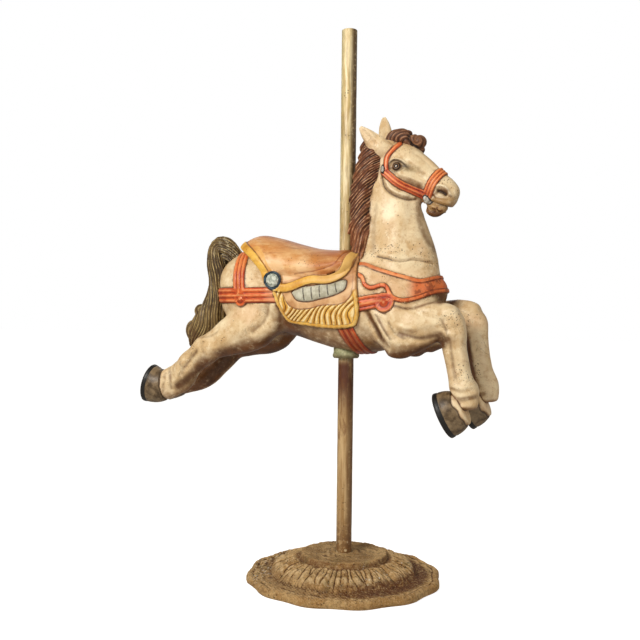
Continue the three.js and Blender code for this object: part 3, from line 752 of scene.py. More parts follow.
# Muscles, folds and joints: raised or sunk lines on the bare body
skin = bare * ease(-strap_in, 0, 4) * not_saddle
outer = np.where(np.abs(Y) > 30, 1.0, 0.35)
MUSCLE_WIDTH, MUSCLE_HEIGHT = 1.3, 0.78
muscles = (
    (8, -8, 112, 132, 122, 104, 140, 84, 164, 44, 180, 16),
    (9, 5, 138, 124, 164, 78, 188, 42),
    (7, -5, 158, 108, 182, 76, 206, 50),
    (9, 5, 200, 122, 214, 94, 262, 78),
    (8, -5, 224, 66, 286, 52, 350, 64),
    (12, 4, 216, 32, 278, 32, 330, 44),
    (9, -5, 240, 150, 294, 120, 356, 104),
    (12, 4, 214, 150, 250, 134, 310, 142),
    (7, -4, 150, 140, 178, 120, 186, 98),
    (10, -6, -176, 140, -186, 96, -204, 58, -236, 32),
    (14, 5, -206, 146, -212, 100, -232, 56, -268, 26),
    (8, -4.5, -226, 150, -246, 96, -284, 60),
    (13, 4, -262, 148, -290, 100, -330, 64),
    (12, -4, -352, 132, -382, 96, -420, 70),
    (9, -4, -392, 62, -440, 34, -486, 16),
    (10, -3.5, -300, 22, -372, -8, -430, -22),
    (6, -3.5, -424, 78, -434, 44, -428, 14),
    (8, -3, -500, -8, -536, -46, -560, -84),
    (7, 4, -530, -18, -562, -46, -590, -70),
    (9, 6, -470, 34, -500, 22, -524, -6),
    (8, -3, -596, -44, -606, -72, -610, -100),
    (9, -3.5, 250, 66, 300, 72, 344, 84),
    (8, -3, 348, 128, 362, 104, 366, 72),
    (8, 5, 370, 138, 390, 132, 402, 112),
    (6, -3.5, 352, 84, 368, 76, 396, 84),
    (7, -3.5, 370, 44, 384, -20, 398, -84),
    (8, 3, 404, 36, 412, -20, 424, -80),
    (4, -2.5, 394, 60, 400, 0, 412, -60),
    (6, -4, 384, -104, 404, -112, 440, -104),
    (8, 4, 384, -92, 408, -96, 440, -90),
    (12, -4, 132, 330, 120, 380, 112, 440, 110, 500),
    (18, 4, 186, 300, 196, 380, 200, 440, 196, 490),
    (3, -4, 134, 304, 172, 294, 206, 286, 250, 292, 300, 282),
    (6, 3, 140, 316, 206, 300, 262, 304, 300, 296),
    (10, -3, 222, 380, 232, 440, 224, 490),
    (12, -7, -626, -44, -608, -84, -604, -140),
    (15, 5, -582, -8, -566, -50, -552, -110),
    (16, -5, -548, 8, -528, -40, -512, -80),
    (16, 5, -506, 36, -486, 0, -470, -34),
    (14, -3, -448, 60, -440, 20, -430, -20),
    (8, -5, 366, -136, 400, -142, 446, -132),
    (14, 4, 366, -104, 404, -112, 448, -104),
    (12, 4, 346, 70, 372, 60, 404, 56),
    (14, -3, 352, 36, 380, 26, 412, 22),
)
lift += creases(muscles, MUSCLE_WIDTH, MUSCLE_HEIGHT) * skin * outer

# The head: eye, cheek, nostril, mouth and jaw
head_zone = ease(Z, 436, 446) * ease(X, 118, 130) * bare
eye_x, eye_z = 182, 591
eye_off = np.hypot(X - eye_x, Z - eye_z)
face_parts = (
    (10, 4.5, 192, 566, 222, 556, 256, 542),
    (8, -2.5, 196, 546, 226, 534, 252, 522),
    (11, -3.5, 216, 594, 238, 578, 262, 558),
    (10, 3, 224, 610, 250, 590, 282, 562),
    (4, 4.5, 156, 598, 162, 609, 176, 616, 196, 610, 212, 597),
    (3.5, 2.5, 160, 580, 174, 572, 192, 573, 210, 585),
    (4.5, -5, 134, 558, 146, 523, 175, 500, 215, 486, 238, 488),
    (7, 4.5, 150, 545, 160, 526, 182, 510, 214, 498),
    (5, 6, 300, 524, 320, 527, 342, 514, 350, 496),
    (5, 3.5, 300, 500, 312, 490, 336, 486),
    (4.6, -10, 312, 510, 325, 507, 337, 499),
    (3.6, -8, 286, 478, 302, 471, 324, 463, 348, 456),
    (4.5, 4, 292, 486, 316, 479, 346, 470),
    (4, 4.5, 286, 466, 304, 458, 324, 450),
    (3.5, -5, 282, 454, 296, 446, 306, 434),
    (3, -4, 300, 456, 312, 444, 318, 434),
    (3.5, -3, 296, 500, 302, 490, 300, 480),
    (5, -2, 230, 640, 270, 606, 310, 566),
)
face = creases(face_parts)
socket = np.hypot((X - 186) / 32, (Z - 594) / 20)
face -= 2.5 * ease(1 - socket, 0, 0.8)
face += 9.5 * np.sqrt(np.clip(1 - (eye_off / 13.5) ** 2, 0, 1))
lift += face * head_zone * ease(-strap_in, -1, 3)
dark_lines = (
    (5.5, 1, 312, 510, 325, 507, 337, 499),
    (3.6, 0.85, 286, 478, 302, 471, 324, 463, 348, 456),
    (3, 0.7, 282, 454, 296, 446, 306, 434),
    (2.6, 0.6, 300, 456, 312, 444, 318, 434),
    (2.6, 0.5, 134, 558, 146, 523, 175, 500, 215, 486, 238, 488),
    (3.2, 0.95, 154, 592, 159, 603, 170, 610, 186, 609, 202, 600, 212, 592),
    (5, 0.9, 200, 592, 210, 590, 217, 587),
    (3, 0.75, 160, 584, 168, 575, 190, 575, 208, 588, 222, 592),
)
seam = along_line([(132, 304), (172, 295), (206, 286), (232, 292)], 2.4)
ink = creases(dark_lines, join=np.maximum) * head_zone
ink = np.maximum(ink, 0.8 * seam * skin * ease(waves(P, 51, 40), -0.5, 0.4))
ink = np.maximum(ink, curl_on * 0.8 * swell(curl_cut, 4.5))

# Painted shade: dark brown laid where shade falls, under the belly and thighs, in folds, between the legs
# and round the muzzle, with a few dark curl lines on the chin; and where the paint is pitted
painted_shade_lines = (
    (34, 1, -146, 124, -160, 80, -150, 40),
    (30, 1, -160, 56, -220, 26, -320, -10, -400, -30),
    (26, 1, -150, 26, -220, -10, -320, -40, -430, -56),
    (9, 0.8, -196, 150, -176, 124, -120, 96, -40, 84, 50, 84),
    (9, 0.4, -420, 110, -470, 60, -520, 30),
    (18, 0.7, -470, -40, -520, -86, -580, -130),
    (11, 0.8, 120, 120, 140, 84, 166, 40),
    (17, 0.9, 180, -12, 240, -4, 300, 14, 350, 34),
    (8, 0.6, 224, 64, 286, 50, 350, 62),
    (8, 0.45, 372, 60, 380, 0, 392, -70),
    (14, 1, 322, 190, 332, 176, 338, 166),
    (9, 0.5, 244, 500, 250, 430, 282, 350, 326, 290, 346, 240),
    (12, 0.35, 118, 470, 112, 380, 118, 320),
    (9, 0.35, 140, 548, 160, 512, 200, 488, 236, 486),
    (16, 0.75, 296, 474, 326, 466, 352, 458),
    (13, 0.6, 322, 508, 336, 500),
    (24, 1, 280, 448, 312, 442),
    (14, 0.6, 250, 524, 262, 512),
    (7, 0.3, 196, 546, 240, 530),
    (22, 0.55, 10, -8, 60, -6, 110, 8),
    (14, 0.5, -440, 150, -446, 200),
    (9, 0.6, -180, 150, -196, 96, -216, 54),
    (7, 0.4, -226, 150, -246, 96, -284, 60),
    (8, 0.5, -498, -8, -540, -50, -572, -96),
    (7, 0.5, -632, -90, -636, -150),
    (8, 0.45, 362, -120, 400, -130, 450, -124),
    (9, 0.6, 300, 500, 320, 512, 340, 508),
    (12, 0.7, 288, 470, 306, 482, 332, 478),
    (12, 0.5, -150, 100, -190, 60, -230, 24),
    (7, 0.4, -566, -52, -552, -92, -540, -130),
    (6, 0.6, 196, 150, 240, 140, 300, 152, 336, 168),
    (5, 0.6, 146, 120, 172, 78, 196, 46),
    (6, 0.5, 188, 96, 214, 62, 240, 48),
    (6, 0.35, -420, 60, -450, 44, -500, 34),
    (10, 0.7, 100, 10, 140, 4, 176, 2),
    (7, 0.5, -622, -70, -612, -100, -606, -140),
    (8, 0.3, -478, 20, -470, -16, -460, -44),
    (6, 0.5, 350, 108, 366, 70, 370, 40),
    (12, 0.7, 330, 40, 352, 56, 362, 40),
    (5, 1.3, 272, 462, 280, 446, 294, 442, 300, 452, 292, 458),
    (5, 1.3, 306, 462, 312, 450, 322, 452),
)
painted_shade = creases(painted_shade_lines, join=np.maximum)
leg_zone = ease(Z, 30, 0) * ease(np.abs(X), 150, 210)
leg_zone = np.maximum(leg_zone, ease(X, 200, 240) * ease(Z, 170, 130))
# Painted shade on the inner sides of the legs, where they face each other, and down the back of the far
# foreleg
inward = ease(N[:, 1] * np.sign(Y), 0.0, -0.6) * np.where(X < 0, 0.75, 0.08)
backward = ease(N[:, 0], 0.0, -0.6) * np.where((X > 230) & (Y > 0), 0.9, 0)
painted_shade = np.maximum(painted_shade, leg_zone * np.maximum(inward, backward))
pitted = np.zeros(len(P))
for x, z, wide, high, strength in (
    (150, 320, 90, 34, 1.0), (290, 300, 50, 40, 0.8), (372, 106, 44, 34, 0.9), (414, -60, 34, 44, 1.0),
    (200, 640, 40, 24, 0.5), (330, 536, 30, 26, 1.0), (318, 560, 16, 16, 1.0), (298, 450, 26, 16, 0.7),
    (-540, -50, 50, 40, 0.5), (270, 170, 60, 30, 0.4), (-70, 286, 60, 22, 0.9),
):
    pitted = np.maximum(pitted, strength * ease(1.25 - np.hypot((X - x) / wide, (Z - z) / high), 0, 0.8))
# Painted shade at the eye's front corner and round its socket
eye_socket_shade = ease(1 - np.hypot((X - 228) / 40, (Z - 582) / 15), 0, 0.8) * head_zone
eye_socket_shade = np.maximum(eye_socket_shade, 0.2 * ease(1.1 - socket, 0, 0.5) * head_zone)

# Silver keepers where the straps meet
keeper_in = np.full(len(P), float(OUTSIDE))
for x, z, half_long, half_wide, lean in ((137, 584, 14, 6.5, 96), (277, 486, 17, 9, -52)):
    c, s = math.cos(math.radians(lean)), math.sin(math.radians(lean))
    u = ((X - x) * c + (Z - z) * s) / half_long
    v = (-(X - x) * s + (Z - z) * c) / half_wide
    reach = np.hypot(u, v)
    keeper_in = np.maximum(keeper_in, (1 - reach) * half_wide)
    lift += 4.5 * ease(1 - reach, -0.05, 0.3) * head_zone

# Ears: hollow fronts
facing = ease(-N[:, 1], 0.2, 0.7)
for rows in (NEAR_EAR, FAR_EAR):
    off, _, run = beside(side_view, refine([(row[0], row[2]) for row in rows], 4))
    lift -= 4.5 * swell(off, 8) * ease(run, 26, 50) * facing * ease(measures["ear"], -1, 2)

# Hooves: the pastern's fold and the shoe
lift -= 2.5 * swell(measures["hoof"], 2.5) * (Z < 0)

# How far each point of a hoof is from its sole
sole = np.full(len(P), float(FAR_OFF))
for rows in hooves:
    before, last = [np.array(row[:3], float) for row in rows[-2:]]
    axis = (last - before) / np.linalg.norm(last - before)
    mine = (np.sign(X) == np.sign(last[0])) & (np.sign(Y) == np.sign(last[1]))
    sole = np.where(mine, (last - P) @ axis, sole)
lift -= 1.5 * swell(sole - 15, 2.5) * ease(measures["hoof"], -1, 1)
fore_hoof = (X > 200) & (Z < -60)
horn_top = 60 + 5 * waves(P, 61, 60) - sole
horn_in = np.where(fore_hoof, np.minimum(measures["hoof"], horn_top), measures["hoof"])
lift -= 2.0 * swell(horn_in, 2.5) * fore_hoof
# Painted shade along the top of each fore hoof, where it meets the pastern
painted_shade = np.maximum(painted_shade, 0.6 * swell(horn_in, 4) * fore_hoof)

# The jewel's bezel
ring = np.hypot(X - jewel_x, Z - jewel_z)
Q = P + N * lift[:, None]
face_y = abs(jewel_y) + 3
on_right, on_left = Y < -100, Y > 100
pocket_radius = JEWEL_RADIUS + CLEARANCE
pocket = on_right & (ring < pocket_radius)
Q[pocket, 1] = -(face_y - 4)
rim = on_right & (ring >= pocket_radius) & (ring < BEZEL_RADIUS)
rim_rise = np.sin(math.pi * np.clip((ring - pocket_radius) / (BEZEL_RADIUS - JEWEL_RADIUS), 0, 1))
Q[rim, 1] = -(face_y - 2 + 4 * rim_rise[rim])
stud = on_left & (ring < BEZEL_RADIUS)
Q[stud, 1] = face_y - 5 + 7 * np.sqrt(np.clip(1 - (ring[stud] / BEZEL_RADIUS) ** 2, 0, 1))

# Hollows, for the brown glaze and painted shade laid in them, and the measures that the paint is laid out by
mesh = horse.data
mesh.vertices.foreach_set("co", ((Q + (0, 0, BELLY)) / 1000).ravel())
mesh.update()
keep_hollows(mesh, Q, (("hollow", 3, 1.0), ("valley", 24, 1.0), ("dale", 44, 1.0)))
for name, values in {
    "mane": measures["mane"],
    "tail": measures["tail"],
    "hoof": horn_in,
    "saddle": measures["saddle"],
    "strap": strap_in,
    "bands": strap_across,
    "breast": collar_in,
    "seat": seat_in,
    "trim": TRIM_WIDTH / 2 - trim_off,
    "panel": panel_in,
    "gusset": gusset_in,
    "fringe": fringe_on,
    "strand": strand,
    "border": fringe_edge_off,
    "roll": roll_in,
    "roll_run": roll_cell,
    "mane_q": mane_q / MANE_PITCH,
    "tail_q": tail_q / TAIL_PITCH,
    "curl_q": curl_q / CURL_PITCH,
    "knob": in_knob,
    "ink": ink,
    "painted_shade": painted_shade,
    "pitted": pitted,
    "sole": sole,
    "eye_socket_shade": eye_socket_shade,
    "eye": eye_off + np.where(head_zone > 0.5, 0, FAR_OFF),
    "keeper": keeper_in - np.where(head_zone > 0.5, 0, FAR_OFF),
    "ring": ring + np.where(on_right | on_left, 0, FAR_OFF),
    "seat_fold": seat_fold_off,
}.items():
    keep(mesh, name, values)
thin = horse.modifiers.new("thin", "DECIMATE")
thin.ratio = min(1.0, HORSE_TRIANGLES / (2 * len(mesh.polygons)))
applied(horse)
horse.data.shade_smooth()
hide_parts("horse")
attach(horse, "root")


# Paints, built from nodes
def add(tree, kind, output, inputs, **settings):
    """A new node with its settings and inputs; one of its outputs comes back as a value."""
    node = tree.nodes.new("ShaderNode" + kind)
    for name, setting in settings.items():
        setattr(node, name, setting)
    for name, value in inputs.items():
        join(tree, value, node.inputs[name])
    return Value(tree, node.outputs[output])


def join(tree, value, socket):
    """Links a socket to a value, or sets it to a number, a list or a screen colour in a tuple."""
    if isinstance(value, Value):
        tree.links.new(value.socket, socket)
    else:
        socket.default_value = tint(value) if isinstance(value, tuple) else value


def tint(screen):
    """A colour seen on screen, 0 to 255, as the shader takes it."""
    return (*[v / 255 / 12.92 if v <= 10 else ((v / 255 + 0.055) / 1.055) ** 2.4 for v in screen], 1.0)


class Value:
    """What a node gives out over a surface; the usual signs act on it."""

    def __init__(self, tree, socket):
        self.tree, self.socket = tree, socket

    def math(self, how, other=0.0):
        return add(self.tree, "Math", 0, {0: self, 1: other}, operation=how)

    def __add__(self, other):
        return self.math("ADD", other)

    def __sub__(self, other):
        return self.math("SUBTRACT", other)

    def __mul__(self, other):
        return self.math("MULTIPLY", other)

    def __pow__(self, other):
        return self.math("POWER", other)

    def __abs__(self):
        return self.math("ABSOLUTE")

    def most(self, other):
        return self.math("MAXIMUM", other)

    def step(self, low, high, to_low=0.0, to_high=1.0):
        ends = {"Value": self, "From Min": low, "From Max": high, "To Min": to_low, "To Max": to_high}
        return add(self.tree, "MapRange", "Result", ends, interpolation_type="SMOOTHSTEP")

    def near(self, centre, half):
        """1 where the value is at the centre, down to 0 beyond half a width from it."""
        return abs(self - centre).step(half, half * 0.45)

    def ridge(self, turns=1.0):
        """Ridges with sharp furrows between them, so many to one unit."""
        return abs((self * (turns * math.pi)).math("SINE"))


class Paint:
    def __init__(self, name, roughness, coat=0.0):
        self.material = bpy.data.materials.new(name)
        self.material.use_nodes = True
        self.tree = self.material.node_tree
        self.shader = self.tree.nodes["Principled BSDF"].inputs
        self.shader["Roughness"].default_value = roughness
        self.shader["Coat Weight"].default_value = coat
        self.shader["Coat Roughness"].default_value = 0.3
        self.shader["Specular IOR Level"].default_value = 0.35
        self.place = add(self.tree, "TexCoord", "Object", {})
        self.x, self.y, self.z = [add(self.tree, "SeparateXYZ", axis, {0: self.place}) for axis in "XYZ"]
        self.up = add(self.tree, "SeparateXYZ", "Z", {0: add(self.tree, "NewGeometry", "Normal", {})})

    def __getitem__(self, name):
        return add(self.tree, "Attribute", "Fac", {}, attribute_name=name)

    def mix(self, share, first, second):
        return add(self.tree, "Mix", 2, {"Factor": share, 6: first, 7: second}, data_type="RGBA")

    def over(self, colour, *coats):
        """Coats of paint over a colour, each a share and a colour."""
        for share, coat in coats:
            colour = self.mix(share, colour, coat)
        return colour

    def noise(self, size, detail=3.0, rough=0.55, stretch=(1.0, 1.0, 1.0), warp=0.0):
        place = add(self.tree, "Mapping", "Vector", {"Vector": self.place, "Scale": list(stretch)})
        inputs = {"Vector": place, "Scale": 1 / size, "Detail": detail, "Roughness": rough}
        return add(self.tree, "TexNoise", "Fac", {**inputs, "Distortion": warp})

    def cells(self, size, feature="F1"):
        inputs = {"Vector": self.place, "Scale": 1 / size}
        return add(self.tree, "TexVoronoi", "Distance", inputs, feature=feature)

    def glaze_and_shade_in_hollows(self, strength):
        """Brown in the hollows, and faintly round them: partly a glaze settled there, partly painted shade.
        """
        glaze_and_shade_patches = self.noise(0.03, 5.0, 0.6).step(0.1, 0.6)
        deep = self["hollow"].step(0.02, 1.0) * (0.92 * strength)
        return deep.most(self["valley"].step(0.3, 3.6) * glaze_and_shade_patches * (0.62 * strength))

    def finish(self, colour, roughness, height, depth, strength):
        join(self.tree, colour, self.shader["Base Color"])
        if roughness is not None:
            join(self.tree, roughness, self.shader["Roughness"])
        bump = {"Strength": strength, "Distance": depth, "Height": height}
        join(self.tree, add(self.tree, "Bump", "Normal", bump), self.shader["Normal"])
        return self.material


def horse_paint():
    p = Paint("painted_wood", 0.48, 0.1)
    hollow, valley, dale = p["hollow"], p["valley"], p["dale"]
    saddle, strap, breast = p["saddle"], p["strap"], p["breast"]
    mane, tail, hoof = p["mane"], p["tail"], p["hoof"]
    ragged = (p.noise(0.012, 2) - 0.5) * 3
    # Mottle: random tone, also used to break up the painted shade and the glaze in the hollows
    mottle = p.noise(0.1, 6, 0.62)
    fine_mottle = p.noise(0.022, 6, 0.65)
    worn_line = p.noise(0.028, 4).step(0.25, 0.6, 0.35, 1)

    # The cream body, with painted highlights on its crests and painted shade on its undersides, in its
    # hollows and where the shade measure lies
    underside_shade = p.up.step(0.05, -0.85)
    cream = p.over(
        (241, 220, 180),
        (mottle.step(0.36, 0.66), (216, 183, 134)),
        (p.noise(0.16, 2).step(0.52, 0.72) * 0.45, (232, 190, 146)),
        (fine_mottle.step(0.5, 0.68) * 0.5, (188, 144, 88)),
        (fine_mottle.step(0.46, 0.32) * 0.5, (252, 234, 196)),
        # Painted highlight on the crests
        (valley.step(-0.6, -3.5) * 0.6, (250, 234, 200)),
        # Painted shade on the downward faces
        (underside_shade * fine_mottle.step(0.1, 0.6) * 0.9, (124, 80, 38)),
    )
    # Painted shade: brown in the broad hollows of the body
    broad_hollow_shade = dale.step(0.6, 6.5) * mottle.step(0.2, 0.6) * 0.62
    # Brown for the hollows: glaze and painted shade
    glaze_and_shade_brown = p.over((124, 80, 36), (fine_mottle.step(0.3, 0.7), (72, 40, 15)))
    # Painted shade: dark brown wherever the shade measure lies, broken up by the mottle
    painted_shade = p["painted_shade"] * fine_mottle.step(0.2, 0.56, 0.55, 1) * mottle.step(0.25, 0.5, 0.8, 1)
    painted_shade = painted_shade.step(0.04, 0.75) * 0.97
    freckle = p.noise(0.0045, 3, 0.6).step(0.56, 0.7) * p.noise(0.06, 3).step(0.4, 0.6) * 0.45
    crack = p.cells(0.024, "DISTANCE_TO_EDGE").step(0.03, 0.006) * p.noise(0.06, 3).step(0.54, 0.66) * 0.4
    pitted = p["pitted"]
    pit_share = p.noise(0.05, 2).step(0.6, 0.66).most(pitted.step(0.15, 0.7))
    pits = p.cells(0.0125).step(0.22, 0.12) * pit_share
    holes = p.cells(0.0075).step(0.26, 0.14) * pitted
    specks = p.cells(0.0052).step(0.24, 0.12) * p.noise(0.09, 3).step(0.5, 0.68) * 0.7
    marks = crack.most(holes).most(pits.most(specks))
    cream = p.over(
        cream,
        (broad_hollow_shade, (160, 114, 62)),
        (p.glaze_and_shade_in_hollows(1), glaze_and_shade_brown),
        (painted_shade, p.mix(mottle.step(0.3, 0.7), (118, 70, 26), (66, 36, 12))),
        (freckle, (150, 110, 66)),
    )
    body = p.over(cream, (marks * 0.8, (78, 48, 26)))

    # Orange straps with dark grooves, painted highlights on the band crests and painted shade on their
    # undersides
    fade = p.noise(0.03, 4, 0.6)
    bands = (p["bands"] + 10.5).math("FRACT")
    # Painted highlight along the crest of each band
    crest_highlight_and_edge_shade = abs(bands - 0.5).step(0.24, 0.06)
    groove = bands.near(0, 0.12).most(bands.near(1, 0.12))
    pinkish = p.x.step(-0.25, -0.21) * p.x.step(-0.14, -0.16)
    # Paler orange on the hip strap and the head straps, high up
    paler_high_patches = p.x.step(-0.26, -0.3).most(p.x.step(0.27, 0.3))
    paler_high_patches = paler_high_patches * p.z.step(1, 1.04) * fade.step(0.34, 0.6)
    deep_front = p.x.step(0.225, 0.27) * p.z.step(1.16, 1.1)
    # Painted shade on the straps' downward faces
    below = p.up.step(0, -0.7)
    inner = breast.step(11.5, 13) * p.x.step(0.268, 0.226)
    line = breast.near(13, 2.4) * worn_line
    orange = p.over(
        (226, 108, 50),
        (fade.step(0.36, 0.66), (194, 66, 24)),
        (crest_highlight_and_edge_shade * fine_mottle.step(0.3, 0.54) * 0.8, (246, 166, 104)),
        (groove * worn_line * 0.75, (112, 34, 14)),
        (p.noise(0.09, 3).step(0.45, 0.7) * 0.5, (158, 48, 18)),
        (pinkish * 0.5, (234, 172, 128)),
        (paler_high_patches * 0.6, (240, 150, 78)),
        (deep_front * 0.6, (214, 98, 36)),
        (deep_front * fine_mottle.step(0.5, 0.62) * 0.7, (116, 48, 20)),
        (below * 0.7, (116, 40, 16)),
        (p.glaze_and_shade_in_hollows(0.9), (86, 28, 10)),
        (inner * 0.9, body),
        (line * 0.8, (78, 34, 20)),
    )
    outline = (strap + ragged).near(-0.6, 2.3) * worn_line
    colour = p.over(
        body,
        ((strap + ragged).step(-0.4, 0.6), orange),
        (outline * 0.75, (96, 44, 26)),
    )

    # The saddle
    seat_in, trim, panel = p["seat"], p["trim"], p["panel"]
    blotch = p.noise(0.05, 6, 0.62, warp=0.4)
    drag = p.noise(0.03, 5, 0.6, (0.35, 1, 1))
    rosy = p.z.step(1.08, 1.03) * p.x.step(-0.02, -0.1)
    top = p.z.step(1.05, 1.11)
    front = p.x.step(-0.12, 0) * drag.step(0.2, 0.55)
    thin_drag = p.noise(0.012, 6, 0.7, (0.12, 0.5, 1))
    near_top = p.z.step(1.02, 1.1, 0.25, 1)
    # A dark line along the seat's top crest: painted shade at the ridge, with some grime
    crest_highlight_and_edge_shade = p.y.near(0, 0.06) * p.z.step(1.06, 1.08) * drag.step(0.3, 0.55)
    # Painted shade: a dark rust-brown line along the seat's carved fold
    fold_line = p["seat_fold"].near(0, 3.4) * worn_line * 0.6
    seat = p.over(
        (232, 182, 122),
        (blotch.step(0.36, 0.66), (212, 146, 80)),
        (rosy * blotch.step(0.7, 0.4) * 0.75, (240, 200, 150)),
        (top * drag.step(0.35, 0.6) * 0.7, (204, 122, 48)),
        (front * 0.8, (176, 98, 42)),
        (drag.step(0.5, 0.72) * 0.5, (186, 104, 44)),
        (thin_drag.step(0.52, 0.66) * near_top * 0.6, (150, 82, 30)),
        (thin_drag.step(0.44, 0.3) * 0.5, (248, 206, 146)),
        (crest_highlight_and_edge_shade * 0.7, (158, 88, 34)),
        (fold_line, (140, 62, 30)),
    )
    pinkish = p.over((224, 180, 128), (blotch.step(0.35, 0.65), (190, 134, 82)))
    cell = p["roll_run"]
    run = cell.math("FRACT")
    in_run = cell.step(0.5, 0.6) * cell.step(5.5, 5.4)
    cross = run.near(0, 0.1).most(run.near(1, 0.1)) * in_run
    roll = p["roll"]
    cross = cross * roll.step(2, 6)
    lower = p.over(pinkish, (seat_in.step(-1, 1), seat))
    in_roll = roll.step(-0.3, 0.7) * trim.step(0.5, -0.5)
    pale = p.over(
        (208, 204, 182),
        (fine_mottle.step(0.35, 0.65), (168, 162, 138)),
        (cross * 0.85, (56, 56, 52)),
    )
    lower = p.over(
        lower,
        (in_roll, pale),
        (roll.near(-0.3, 2) * trim.step(0.5, -0.5) * worn_line * 0.85, (72, 78, 80)),
    )
    wave = p["strand"].ridge()
    gold = p.over(
        (238, 188, 84),
        (blotch.step(0.36, 0.64), (208, 146, 42)),
        # Painted highlight on the raised crests
        (hollow.step(-0.2, -1.4) * 0.75, (252, 226, 152)),
        (drag.step(0.5, 0.7) * 0.4, (162, 100, 30)),
    )
    fine_wave = p["strand"].ridge(3)
    fringe = p["fringe"] * trim.step(0.5, -0.5)
    below_seat = seat_in.step(1, -1)
    strands = p.over(
        gold,
        # Painted highlight on the strand ridges, and painted shade in the furrows between them
        (wave.step(0.6, 0.98) * fine_mottle.step(0.3, 0.55) * 0.85, (252, 230, 172)),
        (fine_wave.step(0.35, 0) * 0.5, (170, 120, 46)),
        (wave.step(0.36, 0.06) * fade.step(0.3, 0.5, 0.5, 1) * 0.8, (126, 78, 22)),
        (p["border"].step(11, 9) * 0.85, gold),
        (p["border"].near(10.5, 2) * worn_line * 0.6, (118, 76, 26)),
    )
    edge_line = panel.near(-0.4, 2.6) * below_seat * worn_line * p.z.step(0.97, 0.94, 0.35, 0.8)
    gusset = p["gusset"].step(-1, 1) * seat_in.step(1, -1)
    lower = p.over(
        lower,
        (fringe * below_seat, strands),
        (edge_line, (110, 62, 26)),
        (gusset * 0.9, p.mix(blotch.step(0.4, 0.6), (234, 178, 100), (214, 150, 70))),
    )
    band = p.over(gold, (p.x.step(-0.1, 0.04), (222, 176, 98)))
    stipple = p.cells(0.011).step(0.16, 0.1) * p.noise(0.045, 2).step(0.55, 0.62) * 0.55
    lower = p.over(
        lower,
        (trim.step(-0.6, 0.4), band),
        (trim.near(-0.4, 2.4) * worn_line * 0.75, (118, 62, 28)),
        (p.glaze_and_shade_in_hollows(0.9), (98, 54, 18)),
        (pits.most(holes) * 0.65, (96, 60, 30)),
        (stipple, (110, 84, 56)),
    )
    colour = p.over(
        colour,
        ((saddle + ragged).step(-0.4, 0.6), lower),
        (saddle.near(-0.8, 3.2) * worn_line * 0.85, (74, 42, 16)),
    )

    # Hair
    def hair(phase, dark, light, deep, shine):
        # Painted glints on the strand ridges; painted shade in the furrows between strands and in the
        # hollows between locks
        ridge = phase.ridge()
        thin = phase.ridge(2.31)
        glint = ridge.step(0.86, 1) * fine_mottle.step(0.42, 0.6) * 0.8
        return p.over(
            light,
            (mottle.step(0.35, 0.65), dark),
            (thin.step(0.4, 0.05) * 0.5, deep),
            (glint, shine),
            (ridge.step(0.42, 0.08) * 0.85, deep),
            (valley.step(0.3, 3) * 0.8, deep),
            (hollow.step(0, 1) * 0.75, deep),
        )

    brown = hair(p["mane_q"], (84, 42, 22), (136, 80, 46), (30, 13, 7), (228, 180, 136))
    low_mane = p.z.step(1.26, 1.08)
    curl = hair(p["curl_q"], (102, 62, 38), (134, 88, 56), (42, 22, 12), (176, 130, 96))
    brown = p.over(brown, (low_mane * 0.3, (146, 86, 46)))
    on_top = p.z.step(1.388, 1.392) * p.x.step(0.13, 0.134)
    # Painted highlight on the top of the forelock's knob, where it faces up
    curl = p.over(curl, (p["knob"] * p.up.step(0.2, 0.9) * 0.6, (150, 108, 78)))
    brown = p.over(brown, (on_top, curl))
    olive_tail = hair(p["tail_q"], (78, 58, 30), (130, 104, 60), (28, 18, 8), (206, 182, 122))
    reddish = p.z.step(0.92, 0.8) * mottle.step(0.4, 0.6)
    colour = p.over(colour, (mane.step(-0.6, 0.6), brown))
    worn = p.z.step(1.02, 1.08) * p.x.step(-0.48, -0.43)
    worn = worn * p.noise(0.012, 5, 0.7).step(0.54, 0.62)
    olive_tail = p.over(
        olive_tail,
        (reddish * 0.6, (104, 62, 40)),
        (worn * 0.6, (210, 198, 164)),
    )
    colour = p.over(colour, (tail.step(-0.6, 0.6), olive_tail))

    # Hooves, and the shoe along each lower edge
    horn = p.over(
        (132, 110, 80),
        (fine_mottle.step(0.35, 0.65), (74, 56, 34)),
        (mottle.step(0.5, 0.7) * 0.45, (168, 148, 118)),
        # Painted highlight on the raised parts of the horn
        (hollow.step(-0.1, -0.8) * 0.35, (166, 148, 120)),
        (p["sole"].step(15.5, 14), (26, 24, 22)),
        (hoof.near(1, 4) * 0.6, (40, 28, 20)),
    )
    colour = p.over(colour, (hoof.step(-0.6, 0.6), horn))

